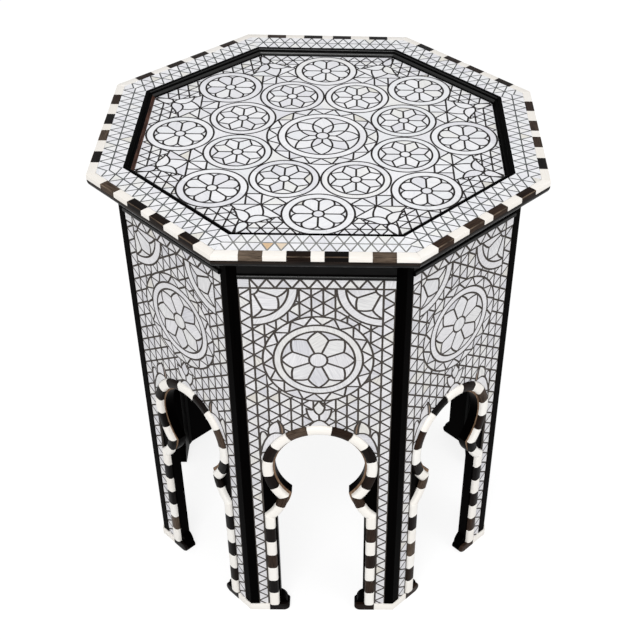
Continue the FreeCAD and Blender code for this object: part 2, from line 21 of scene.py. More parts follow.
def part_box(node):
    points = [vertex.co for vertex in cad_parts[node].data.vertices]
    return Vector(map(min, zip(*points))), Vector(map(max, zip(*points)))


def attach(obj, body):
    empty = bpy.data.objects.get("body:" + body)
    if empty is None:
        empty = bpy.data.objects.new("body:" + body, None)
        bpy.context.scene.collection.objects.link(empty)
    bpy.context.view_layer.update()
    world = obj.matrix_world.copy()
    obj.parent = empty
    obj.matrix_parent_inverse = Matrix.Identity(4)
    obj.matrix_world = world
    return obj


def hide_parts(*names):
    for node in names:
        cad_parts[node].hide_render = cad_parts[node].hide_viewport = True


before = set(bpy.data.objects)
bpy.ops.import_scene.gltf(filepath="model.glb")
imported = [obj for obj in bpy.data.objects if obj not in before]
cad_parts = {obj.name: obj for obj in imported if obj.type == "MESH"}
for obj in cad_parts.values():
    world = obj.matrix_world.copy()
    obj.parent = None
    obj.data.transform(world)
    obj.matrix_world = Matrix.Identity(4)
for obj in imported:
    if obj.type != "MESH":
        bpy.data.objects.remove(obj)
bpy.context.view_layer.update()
RIM_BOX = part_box("rim_bone_blocks")
LOG = logging.getLogger("side_table")

Path = list[Vector]
BMesh = bmesh.types.BMesh
Material = bpy.types.Material

MM = 0.001
SIDES = 8
EIGHTH_TURN = math.tau / SIDES
CORNER_ANGLE = EIGHTH_TURN / 2
TAN = math.tan(CORNER_ANGLE)

# How finely shapes are drawn: the step of arcs in degrees, and then lengths in millimetres, from the
# width of a joint that nothing names down to how near a cut has to pass a point to go through it.
ARC_STEP = 5.625
HAIRLINE = 0.05
CROSSING = 0.04
WELD = 0.03
SHORTEST = 0.02
TOUCH = 0.01
MEETING = 0.005
TILE_WELD = 0.004
CLOSE = 0.001
FINE = 1e-4
CLEAN_CUT = 1e-5

# When two edges of a tile count as one line, by the sine of their angle, and how often scraps are joined.
PARALLEL = 0.02
SCRAP_ROUNDS = 3

# Angles in degrees. Edges above the first two stay sharp on planed wood and on blocks, and edges above
# the others count as corners: of a post, of a moulding and of a block.
WOOD_SMOOTH = 35.0
BLOCK_SMOOTH = 40.0
POST_CORNER = 30.0
MOULDING_CORNER = 40.0
BLOCK_CORNER = 50.0

# How tones and grain are drawn by lot: most blocks are dark, and a few of the small tiles are cream. A
# grain runs towards GRAIN_WAY, which no block lies square to.
DARKER = 1.8
SHELL_TONES = (0.0, 0.93)
CREAM_TONES = (0.94, 0.98)
CREAM_SHARE = 0.025
CREAM_AREA = 160.0
GRAIN_SPREAD = 900.0
GRAIN_TILT = 0.7
GRAIN_WAY = (0.9, 0.37, 0.23)

# How the noise of a grain is read: its detail, where its streaks and its gloss begin and end, and how
# much of its relief shows.
STREAK_DETAIL = 3.0
STREAK_ROUGHNESS = 0.62
STREAK_ENDS = (0.33, 0.64)
GLOSS_ENDS = (0.3, 0.7)
RELIEF_STRENGTH = 0.5


class Seed(IntEnum):
    """Starts of the runs of random numbers."""

    TRAY_MOSAIC = 7
    RIM_WHITE = 11
    RIM_DARK = 12
    BEAD_WHITE = 21
    BEAD_DARK = 22
    FOOT_STRIPS = 31
    FOOT_ENDS = 32
    RAILS = 41
    MOULDING = 42
    BOARDS = 43
    POSTS = 44
    CORNICE = 45
    TOES = 46
    SIDE_MOSAICS = 100
    BORDER_MOSAICS = 300


# Paths


def polar(centre: Vector, radius: float, degrees: float) -> Vector:
    """Point at a distance and an angle from a centre."""
    angle = math.radians(degrees)
    return centre + radius * Vector((math.cos(angle), math.sin(angle)))


def through(*points: tuple[float, float]) -> Path:
    """Path through points that are given as pairs of numbers."""
    return [Vector(point) for point in points]


def arc_about(centre: Vector, radius: float, first: float, last: float, step: float = ARC_STEP) -> Path:
    """Points along an arc.

    Args:
        centre: Middle of the arc.
        radius: Its radius.
        first: Angle of its start, in degrees.
        last: Angle of its end, in degrees.
        step: Largest angle between two points.

    Returns:
        The points, both ends included.
    """
    count = max(1, math.ceil(abs(last - first) / step - 1e-6))
    return [polar(centre, radius, first + (last - first) * index / count) for index in range(count + 1)]


def circle(centre: Vector, radius: float) -> Path:
    """Closed circle, its first point on the right."""
    return arc_about(centre, radius, 0, 360)[:-1]


def arc_between(start: Vector, end: Vector, radius: float, centre_left: bool) -> Path:
    """The shorter arc between two points.

    Args:
        start: Where the arc starts.
        end: Where it ends.
        radius: Its radius.
        centre_left: Whether its centre is on the left of the way from start to end.

    Returns:
        The points, both ends included.
    """
    chord = end - start
    rise = math.sqrt(max(0.0, radius**2 - (chord.length / 2) ** 2))
    left = Vector((-chord.y, chord.x)).normalized()
    centre = (start + end) / 2 + left * (rise if centre_left else -rise)
    first, last = (math.degrees(math.atan2(p.y - centre.y, p.x - centre.x)) for p in (start, end))
    sweep = (last - first + 180) % 360 - 180
    return arc_about(centre, radius, first, first + sweep)


def bend(start: Vector, control: Vector, end: Vector, count: int = 8) -> Path:
    """Smooth bend from start to end that leans towards a control point."""
    handles = [point.lerp(control, 2 / 3) for point in (start, end)]
    return geometry.interpolate_bezier(start, *handles, end, count)


def mirrored(path: Path) -> Path:
    """A path on the other side of the upright axis."""
    return [Vector((-point.x, point.y)) for point in path]


def turned(path: Path, angle: float) -> Path:
    """A path turned about the origin by an angle in radians."""
    turn = Matrix.Rotation(angle, 2)
    return [turn @ point for point in path]


def inside(point: Vector, outline: Path) -> bool:
    """Whether a point lies within a closed outline.

    Args:
        point: The point.
        outline: Corners of the outline.

    Returns:
        True where it does.
    """
    within = False
    for a, b in zip(outline, [*outline[1:], outline[0]]):
        if (a.y > point.y) != (b.y > point.y):
            if point.x < a.x + (point.y - a.y) / (b.y - a.y) * (b.x - a.x):
                within = not within
    return within


def stretches(start: Vector, end: Vector, outline: Path, keep_inside: bool) -> list[Path]:
    """Stretches of a straight line that lie inside a closed outline, or outside it.

    A stretch that is cut runs a hair's breadth across the outline, so that the two are sure to meet.

    Args:
        start: Start of the line.
        end: End of the line.
        outline: Closed outline that cuts it.
        keep_inside: Whether the stretches inside are kept, or those outside.

    Returns:
        The stretches, each with its two ends.
    """
    along = end - start
    over = CROSSING / along.length
    cuts = {0.0, 1.0}
    for a, b in zip(outline, [*outline[1:], outline[0]]):
        hit = geometry.intersect_line_line_2d(start, end, a, b)
        if hit is not None:
            cuts.add(min(1.0, max(0.0, (hit - start).dot(along) / along.length_squared)))
    kept = []
    ordered = sorted(cuts)
    for first, last in zip(ordered, ordered[1:]):
        longer = (last - first) * along.length > SHORTEST
        if longer and inside(start.lerp(end, (first + last) / 2), outline) == keep_inside:
            kept.append([start.lerp(end, max(0.0, first - over)), start.lerp(end, min(1.0, last + over))])
    return kept


# Sizes


@dataclass(frozen=True)
class TableSizes:
    """Driving sizes of the table, in millimetres, and the places that follow from them."""

    height: float = RIM_BOX[1].z / MM
    top_width: float = 2 * RIM_BOX[1].x / MM
    rim_width: float = 9.9
    rim_height: float = 6.0
    border_width: float = 26.9
    recess_depth: float = 7.0
    moulding_width: float = 10.6
    shell: float = 2.0
    rail_height: float = 18.0
    top_overhang: float = 27.2
    post_face: float = 10.5
    board: float = 12.0
    setback: float = 2.4
    fit_gap: float = 0.15
    cornice_height: float = 27.6
    leg_veneer: float = 13.35
    bead_width: float = 12.6
    bead_rise: float = 6.0
    edge_lip: float = 2.2
    spring: float = 260.9
    plinth_height: float = 11.0
    plinth_proud: float = 1.6

    @property
    def rim_edge(self) -> float:
        """Apothem of the rim."""
        return self.top_width / 2

    @property
    def border_edge(self) -> float:
        """Apothem of the border's outer edge."""
        return self.rim_edge - self.rim_width

    @property
    def recess_edge(self) -> float:
        """Apothem of the border's inner edge."""
        return self.border_edge - self.border_width

    @property
    def floor_edge(self) -> float:
        """Apothem of the tray floor."""
        return self.recess_edge - self.moulding_width

    @property
    def floor_top(self) -> float:
        """Height of the tray floor."""
        return self.height - self.recess_depth

    @property
    def rail_bottom(self) -> float:
        """Height of the rails' underside."""
        return self.height - self.shell - self.rail_height

    @property
    def cornice_bottom(self) -> float:
        """Height of the cornice's lower edge."""
        return self.rail_bottom - self.cornice_height

    @property
    def post_front(self) -> float:
        """Apothem of the posts' faces."""
        return self.rim_edge - self.top_overhang

    @property
    def board_front(self) -> float:
        """Apothem of the side boards' faces."""
        return self.post_front - self.setback

    @property
    def board_edge(self) -> float:
        """Half the width of a side board between its posts."""
        return self.post_front * TAN - self.post_face - self.fit_gap

    @property
    def veneer_cut(self) -> float:
        """Half the width of the opening in the side veneer, and the radius of its arch."""
        return self.board_edge - self.leg_veneer

    @property
    def bead_middle(self) -> float:
        """Distance of the bead's centre line from the middle of its side, on the legs."""
        return self.veneer_cut - self.fit_gap - self.bead_width / 2

    @property
    def leg_edge(self) -> float:
        """Half the gap between the legs, and the radius of the arch."""
        return self.bead_middle - self.bead_width / 2 - self.edge_lip


SIZES = TableSizes()


# Finishes


def linear(hex_colour: str) -> tuple[float, float, float, float]:
    """Linear colour of an sRGB hex value such as #FFFFFF."""
    channels = [int(hex_colour[start : start + 2], 16) / 255 for start in (1, 3, 5)]
    return (*(c / 12.92 if c <= 0.04045 else ((c + 0.055) / 1.055) ** 2.4 for c in channels), 1.0)


def add_node(
    tree: bpy.types.NodeTree,
    kind: str,
    values: dict | None = None,
    links: dict | None = None,
    stops: Sequence[tuple[float, str]] = (),
    **settings: object,
) -> bpy.types.Node:
    """Adds a node to a shader.

    Args:
        tree: Node tree that takes it.
        kind: Type of the node.
        values: Constant for each named input.
        links: Output that feeds each named input.
        stops: Places and colours of a colour ramp.
        **settings: Properties of the node.

    Returns:
        The new node.
    """
    node = tree.nodes.new(kind)
    for key, value in settings.items():
        setattr(node, key, value)
    for key, value in (values or {}).items():
        node.inputs[key].default_value = value
    for key, source in (links or {}).items():
        tree.links.new(source, node.inputs[key])
    for index, (place, colour) in enumerate(stops):
        ramp = node.color_ramp.elements
        stop = ramp[index] if index < 2 else ramp.new(place)
        stop.position = place
        stop.color = linear(colour)
    return node


class GrainMap(Enum):
    """What a finish's grain follows."""

    BLOCK = "block"
    BODY = "body"


@dataclass(frozen=True)
class Streaks:
    """Streaks of a grain: their tint, their width and length in millimetres, and how much they show."""

    tint: str
    width: float
    length: float
    strength: float


@dataclass(frozen=True)
class Finish:
    """A natural material with tones that differ from block to block, and a grain.

    The grain darkens the tone in streaks, and gives the surface its uneven gloss and a fine relief.
    """

    name: str
    tones: tuple[tuple[float, str], ...]
    streaks: Streaks
    roughness: tuple[float, float]
    specular: float = 0.5
    relief_mm: float = 0.02
    grain: GrainMap = GrainMap.BLOCK

    def make(self) -> Material:
        """Makes the material, which reads the blocks' tone and their grain map.

        Returns:
            The material.
        """
        material = bpy.data.materials.new(self.name)
        material.use_nodes = True
        tree = material.node_tree
        shader = tree.nodes["Principled BSDF"]
        shader.inputs["Specular IOR Level"].default_value = self.specular
        tone = add_node(tree, "ShaderNodeAttribute", attribute_name="tone")
        tint = add_node(tree, "ShaderNodeValToRGB", links={"Fac": tone.outputs["Fac"]}, stops=self.tones)
        if self.grain is GrainMap.BLOCK:
            place = add_node(tree, "ShaderNodeUVMap", uv_map="grain").outputs["UV"]
            scale = (1 / self.streaks.length, 1 / self.streaks.width, 1.0)
        else:
            place = add_node(tree, "ShaderNodeTexCoord").outputs["Object"]
            across, along = 1 / self.streaks.width / MM, 1 / self.streaks.length / MM
            scale = (across, across, along)
        stretch = add_node(tree, "ShaderNodeMapping", values={"Scale": scale}, links={"Vector": place})
        streak = add_node(
            tree,
            "ShaderNodeTexNoise",
            values={"Scale": 1.0, "Detail": STREAK_DETAIL, "Roughness": STREAK_ROUGHNESS},
            links={"Vector": stretch.outputs["Vector"]},
        )
        noise = streak.outputs["Fac"]
        stops = tuple(zip(STREAK_ENDS, (self.streaks.tint, "#FFFFFF")))
        shade = add_node(tree, "ShaderNodeValToRGB", links={"Fac": noise}, stops=stops)
        colour = add_node(
            tree,
            "ShaderNodeMix",
            data_type="RGBA",
            blend_type="MULTIPLY",
            values={"Factor": self.streaks.strength},
            links={"A": tint.outputs["Color"], "B": shade.outputs["Color"]},
        )
        ends = ("From Min", "From Max", "To Max", "To Min")
        values = dict(zip(ends, (*GLOSS_ENDS, *self.roughness)))
        gloss = add_node(tree, "ShaderNodeMapRange", values=values, links={"Value": noise})
        values = {"Strength": RELIEF_STRENGTH, "Distance": self.relief_mm * MM}
        relief = add_node(tree, "ShaderNodeBump", values=values, links={"Height": noise})
        tree.links.new(colour.outputs["Result"], shader.inputs["Base Color"])
        tree.links.new(gloss.outputs["Result"], shader.inputs["Roughness"])
        tree.links.new(relief.outputs["Normal"], shader.inputs["Normal"])
        return material


# Nacre grows in layers, so each tile has its own faint tint and fine streaks that run its own way. The
# streaks are drawn wider than the real layers, which are too fine to show.
TOP_SHELL = Finish(
    name="mother_of_pearl_sawn_and_polished",
    tones=(
        (0.0, "#ECECF1"),
        (0.2, "#F2F2F5"),
        (0.4, "#FBFBFD"),
        (0.6, "#F3F5F7"),
        (0.8, "#FCFCFE"),
        (0.93, "#F5F5F2"),
        (0.98, "#EAE7DD"),
        (0.99, "#EBD8C0"),
        (1.0, "#E2C097"),
    ),
    streaks=Streaks("#DADADF", 1.5, 20.0, 0.55),
    roughness=(0.24, 0.36),
)
# The sides' shell is a little rougher and greyer than the top's, and its streaks are plainer.
SIDE_SHELL = Finish(
    name="mother_of_pearl_sawn_greyer",
    tones=(
        (0.0, "#DCDCE1"),
        (0.25, "#E7E6E8"),
        (0.5, "#F0EFF1"),
        (0.75, "#E9E9EA"),
        (0.93, "#EDECE9"),
        (0.98, "#E2DED4"),
        (1.0, "#80664E"),
    ),
    streaks=Streaks("#CFCED2", 1.5, 20.0, 0.6),
    roughness=(0.28, 0.4),
)
# Bone is dense and nearly white, with faint cream lines where its pores were cut lengthwise.
# The rim's bone is a shade darker than the bead's: painted shade against the strong light on the top.
RIM_BONE = Finish(
    name="bone_sawn_and_polished",
    tones=((0.0, "#F4F0EA"), (1.0, "#F8F5F1")),
    streaks=Streaks("#EFE9DF", 0.9, 14.0, 0.4),
    roughness=(0.32, 0.45),
)
# Bead and foot strips: bone painted whiter than the rim's, to make up for less light on upright faces.
LIGHTER_BONE = Finish(
    name="bone_turned_painted_lighter",
    tones=((0.0, "#FBF7F1"), (1.0, "#FFFDF9")),
    streaks=Streaks("#F2EBE0", 0.9, 14.0, 0.25),
    roughness=(0.34, 0.48),
)
# Ebony is nearly black and rosewood brown, and where the polish is worn the grain shows grey-brown.
DARK_WOOD = Finish(
    name="ebony_and_rosewood_polished",
    tones=((0.0, "#0A0706"), (0.4, "#160E0B"), (0.7, "#2C1E16"), (0.85, "#45352A"), (1.0, "#77685A")),
    streaks=Streaks("#4A4039", 0.9, 18.0, 0.85),
    roughness=(0.35, 0.5),
    specular=0.06,
)
# The rounded top arris of the dark blocks is lighter brown: worn wood in patches, and a painted highlight.
WORN_AND_HIGHLIT_EDGE = Finish(
    name="stained_wood_worn_and_painted_highlight",
    tones=((0.0, "#5A4A3C"), (1.0, "#7C6B5A")),
    streaks=Streaks("#1E1713", 1.4, 24.0, 1.0),
    roughness=(0.45, 0.65),
    specular=0.15,
)
# The rail's edge is only rubbed, so it goes from black to a very dark brown.
RUBBED_EDGE = Finish(
    name="stained_wood_rubbed",
    tones=((0.0, "#1C1511"), (1.0, "#30241C")),
    streaks=Streaks("#16110E", 1.4, 40.0, 1.0),
    roughness=(0.4, 0.6),
    specular=0.1,
)
# Trays and cups have rubbed the foot of the tray's moulding, where the red of the wood comes through.
RED_EDGE = Finish(
    name="stained_wood_rubbed_red",
    tones=((0.0, "#54352A"), (1.0, "#5E3D30")),
    streaks=Streaks("#1A1412", 1.6, 22.0, 1.0),
    roughness=(0.4, 0.6),
    specular=0.1,
)
# Stained black and French polished: deep black, with a soft shine that is broken by the grain.
BLACK_WOOD = Finish(
    name="ebonised_wood_french_polished",
    tones=((0.0, "#030202"), (1.0, "#060404")),
    streaks=Streaks("#404040", 2.2, 60.0, 0.8),
    roughness=(0.25, 0.4),
    specular=0.005,
    relief_mm=0.05,
)
# The mouldings were waxed, so they are a little greyer and catch more light along their edges.
BLACK_MOULDING = Finish(
    name="ebonised_wood_waxed",
    tones=((0.0, "#070606"), (1.0, "#0C0A09")),
    streaks=Streaks("#303030", 5.0, 26.0, 0.8),
    roughness=(0.3, 0.5),
    specular=0.09,
    relief_mm=0.15,
)
# The moulding of the tray is varnished: black, with a soft shine.
BLACK_VARNISH = Finish(
    name="ebonised_wood_varnished",
    tones=((0.0, "#020202"), (1.0, "#040404")),
    streaks=Streaks("#404040", 3.0, 60.0, 0.8),
    roughness=(0.3, 0.42),
    specular=0.008,
    relief_mm=0.05,
)
# A glossier black, a painted highlight: only the rounded edges of the tray moulding's far lengths and the
# upper side of the bead under the top take it, so they catch the light as thin grey lines.
HIGHLIGHT_GLOSS = Finish(
    name="ebonised_wood_painted_highlight",
    tones=((0.0, "#060606"), (1.0, "#0A0A0A")),
    streaks=Streaks("#404040", 2.0, 40.0, 0.8),
    roughness=(0.2, 0.3),
)
# The edge of the board was left bare: tan wood with dark pores.
RAW_EDGE = Finish(
    name="walnut_sawn_bare",
    tones=((0.0, "#8F755E"), (1.0, "#9A8068")),
    streaks=Streaks("#7A6350", 1.2, 30.0, 0.8),
    roughness=(0.6, 0.8),
    specular=0.15,
    grain=GrainMap.BODY,
)
# Pine planks inside, planed and left unfinished: yellow-brown with darker late wood.
SOFTWOOD = Finish(
    name="pine_planed_bare",
    tones=((0.0, "#A98558"), (1.0, "#A98558")),
    streaks=Streaks("#7E5C38", 5.0, 160.0, 0.9),
    roughness=(0.6, 0.8),
    specular=0.2,
    relief_mm=0.2,
    grain=GrainMap.BODY,
)


def mastic(name: str, colour: str) -> Finish:
    """Shellac mastic rubbed into the joints: dull and a little dusty, in cloudy patches.

    Args:
        name: Name of the material.
        colour: Its colour.

    Returns:
        The finish.
    """
    return Finish(
        name=name,
        tones=((0.0, colour), (1.0, colour)),
        streaks=Streaks("#B4B0AC", 7.0, 7.0, 0.6),
        roughness=(0.7, 0.85),
        specular=0.1,
        grain=GrainMap.BODY,
    )


# Lampblack makes the tray's mastic nearly black, age has turned the sides' taupe and the border's grey,
# and the front border's mastic is made paler than the rest.
TRAY_MASTIC = mastic("shellac_mastic_lampblack", "#312E2D")
SIDE_MASTIC = mastic("shellac_mastic_aged", "#4F4A46")
BORDER_MASTIC = mastic("shellac_mastic_greyed", "#606363")
FRONT_MASTIC = mastic("shellac_mastic_paler_front", "#8C8D8B")


# Pieces


def place_piece(
    name: str,
    shape: BMesh,
    materials: Sequence[Material],
    stands_for: Sequence[str],
    smooth_angle: float | None = None,
    seed: Seed | None = None,
) -> None:
    """Turns a shape in millimetres into a piece of the table.

    Args:
        name: Name of the piece.
        shape: Its shape, which is used up.
        materials: Materials, in the order of the faces' indices.
        stands_for: CAD nodes that it replaces.
        smooth_angle: Edges sharper than this stay sharp, in degrees, or None for flat faces.
        seed: Start of the run of tones and grain for a shape that is repeated all round, or None for
            one that is ready.
    """
    if seed is not None:
        grain_blocks(all_round(shape), random.Random(seed))
    bmesh.ops.transform(shape, matrix=Matrix.Scale(MM, 4), verts=shape.verts)
    mesh = bpy.data.meshes.new(name)
    if smooth_angle is not None:
        for face in shape.faces:
            face.smooth = True
    shape.to_mesh(mesh)
    shape.free()
    if smooth_angle is not None:
        mesh.set_sharp_from_angle(angle=math.radians(smooth_angle))
    for material in materials:
        mesh.materials.append(material)
    piece = bpy.data.objects.new(name, mesh)
    bpy.context.scene.collection.objects.link(piece)
    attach(piece, "root")
    if stands_for:
        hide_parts(*stands_for)
    LOG.info("%s: %d faces", name, len(mesh.polygons))


def whole(shape: BMesh) -> list:
    """All vertices, edges and faces of a shape."""
    return [*shape.verts, *shape.edges, *shape.faces]


def only(items: Iterable, kind: type) -> list:
    """Items of one kind, such as the vertices among the parts of a shape."""
    return [item for item in items if isinstance(item, kind)]


def numbered(name: str) -> list[str]:
    """Names of the CAD nodes that share a name, one on each side."""
    return [f"{name}_{side + 1}" for side in range(SIDES)]


def all_round(shape: BMesh) -> BMesh:
    """Repeats a shape on the other seven sides.

    Args:
        shape: Shape on the side that faces -Y.

    Returns:
        The same shape.
    """
    bmesh.ops.spin(
        shape,
        geom=whole(shape),
        cent=(0, 0, 0),
        axis=(0, 0, 1),
        angle=EIGHTH_TURN * (SIDES - 1),
        steps=SIDES - 1,
        use_duplicate=True,
    )
    return shape


def both_halves(shape: BMesh) -> BMesh:
    """Adds the mirror image of a side's right half.

    Args:
        shape: Shape of the right half.

    Returns:
        The same shape.
    """
    copied = bmesh.ops.duplicate(shape, geom=whole(shape))["geom"]
    verts = only(copied, bmesh.types.BMVert)
    bmesh.ops.scale(shape, vec=(-1, 1, 1), verts=verts)
    bmesh.ops.recalc_face_normals(shape, faces=shape.faces)
    return shape


def close_holes(shape: BMesh) -> None:
    """Caps every open edge loop of a shape and points its faces outwards."""
    bmesh.ops.holes_fill(shape, edges=[edge for edge in shape.edges if edge.is_boundary], sides=0)
    bmesh.ops.recalc_face_normals(shape, faces=shape.faces)


def add_outline(shape: BMesh, points: Path) -> list:
    """Adds a closed loop of edges.

    Args:
        shape: Shape that takes it.
        points: Corners of the loop.

    Returns:
        Its vertices and edges.
    """
    verts = [shape.verts.new(point) for point in points]
    edges = [shape.edges.new((a, b)) for a, b in zip(verts, [*verts[1:], verts[0]])]
    return [*verts, *edges]


def add_prism(shape: BMesh, points: Path, along: Vector) -> list:
    """Adds a solid with an even section.

    Args:
        shape: Shape that takes it.
        points: Corners of the section.
        along: Way and length that the section is drawn out.

    Returns:
        The new faces.
    """
    before = set(shape.faces)
    loop = add_outline(shape, points)
    drawn = bmesh.ops.extrude_edge_only(shape, edges=only(loop, bmesh.types.BMEdge))["geom"]
    bmesh.ops.translate(shape, vec=along, verts=only(drawn, bmesh.types.BMVert))
    close_holes(shape)
    return [face for face in shape.faces if face not in before]


def cut_off(shape: BMesh, verts: Sequence, point: Vector, normal: Vector) -> None:
    """Cuts away what lies on a plane's far side and caps the cut.

    Args:
        shape: Shape that is cut.
        verts: Vertices of the part that is cut.
        point: Point on the plane.
        normal: Direction towards what goes.
    """
    chosen = set(verts)
    edges = [edge for edge in shape.edges if chosen.issuperset(edge.verts)]
    faces = [face for face in shape.faces if chosen.issuperset(face.verts)]
    bmesh.ops.bisect_plane(
        shape,
        geom=[*verts, *edges, *faces],
        dist=CLEAN_CUT,
        plane_co=point,
        plane_no=normal,
        clear_outer=True,
    )
    close_holes(shape)


def soften(shape: BMesh, edges: Iterable, width: float, segments: int = 1) -> set:
    """Eases edges by a small bevel.

    Args:
        shape: Shape with the edges.
        edges: Edges that are eased.
        width: Width of the bevel.
        segments: Number of faces across it.

    Returns:
        The faces of the bevel.
    """
    eased = bmesh.ops.bevel(
        shape,
        geom=list(edges),
        offset=width,
        offset_type="OFFSET",
        affect="EDGES",
        segments=segments,
        profile=0.5,
        material=-1,
        clamp_overlap=True,
    )
    return set(eased["faces"])


def add_copy(shape: BMesh, block: BMesh) -> None:
    """Adds a block to a shape.

    Args:
        shape: Shape that takes it.
        block: The block, which is used up.
    """
    mesh = bpy.data.meshes.new("block")
    block.to_mesh(mesh)
    block.free()
    shape.from_mesh(mesh)
    bpy.data.meshes.remove(mesh)


def turn_shape(shape: BMesh, angle: float) -> None:
    """Turns a shape about the table's axis by an angle in radians."""
    bmesh.ops.rotate(shape, cent=(0, 0, 0), matrix=Matrix.Rotation(angle, 3, "Z"), verts=shape.verts)


def sharp_edges(shape: BMesh, degrees: float) -> list:
    """Edges where two faces meet at more than an angle."""
    return [edge for edge in shape.edges if edge.calc_face_angle(0.0) > math.radians(degrees)]


def mitre_normal(hand: int) -> Vector:
    """Direction out of a side across its mitre, on the right for 1 and on the left for -1."""
    return Vector((hand * math.cos(CORNER_ANGLE), math.sin(CORNER_ANGLE), 0))


def add_length(shape: BMesh, section: Path, first: float, last: float) -> None:
    """Adds a length of wood along the side that faces -Y.

    Args:
        shape: Shape that takes it.
        section: Corners of its section, as apothem and height.
        first: Where it starts along the side.
        last: Where it ends.
    """
    corners = [Vector((first, -point.x, point.y)) for point in section]
    add_prism(shape, corners, Vector((last - first, 0, 0)))


def mitred_length(section: Path, ease: float) -> BMesh:
    """A length of moulding along one side, mitred to its neighbours.

    Args:
        section: Corners of its section, as apothem and height.
        ease: Width of the bevel on its long edges.

    Returns:
        Its shape.
    """
    shape = bmesh.new()
    reach = SIZES.top_width
    add_length(shape, section, -reach, reach)
    corners = sharp_edges(shape, MOULDING_CORNER)
    soften(shape, [edge for edge in corners if edge.calc_length() > reach], ease, 2)
    for hand in (1, -1):
        cut_off(shape, shape.verts[:], Vector(), mitre_normal(hand))
    return shape


def islands(shape: BMesh) -> list[list]:
    """Finds the separate blocks of a shape.

    Args:
        shape: Shape with the blocks.

    Returns:
        The faces of each block.
    """
    groups = []
    left = set(shape.faces)
    for first in shape.faces:
        if first not in left:
            continue
        left.remove(first)
        reached = [first]
        for face in reached:
            for edge in face.edges:
                for neighbour in edge.link_faces:
                    if neighbour in left:
                        left.remove(neighbour)
                        reached.append(neighbour)
        groups.append(reached)
    return groups


def grain_blocks(shape: BMesh, chance: random.Random, tones: Sequence[float] = ()) -> None:
    """Gives each block its tone, and a grain map that runs along it.

    Args:
        shape: Shape with the blocks.
        chance: Run of random numbers.
        tones: Tones of the blocks in order, where they aren't left to chance.
    """
    tone = shape.faces.layers.float.new("tone")
    grain = shape.loops.layers.uv.new("grain")
    for index, faces in enumerate(islands(shape)):
        points = np.array([vert.co for face in faces for vert in face.verts])
        axes = np.linalg.eigh(np.cov((points - points.mean(0)).T))[1]
        axes *= np.sign(np.array(GRAIN_WAY) @ axes)
        along, across = Vector(axes[:, 2]), Vector(axes[:, 1] + GRAIN_TILT * axes[:, 0])
        shift = Vector((chance.uniform(0, GRAIN_SPREAD), chance.uniform(0, GRAIN_SPREAD)))
        value = tones[index] if tones else chance.random() ** DARKER
        for face in faces:
            face[tone] = value
            for loop in face.loops:
                loop[grain].uv = shift + Vector((loop.vert.co.dot(along), loop.vert.co.dot(across)))


# Mosaics


class Joint(IntEnum):
    """Kinds of joint between tiles."""

    MAIN = 0
    GROUND = 1
    SEAM = 2


@dataclass(frozen=True)
class MosaicStyle:
    """How a mosaic is laid: widths and heights in millimetres."""

    main: float
    ground: float
    seam: float
    raised: float
    thickness: float
    smallest_tile: float

    def half_width(self, kind: Joint) -> float:
        """Half the width of a kind of joint."""
        return {Joint.MAIN: self.main, Joint.GROUND: self.ground, Joint.SEAM: self.seam}[kind] / 2


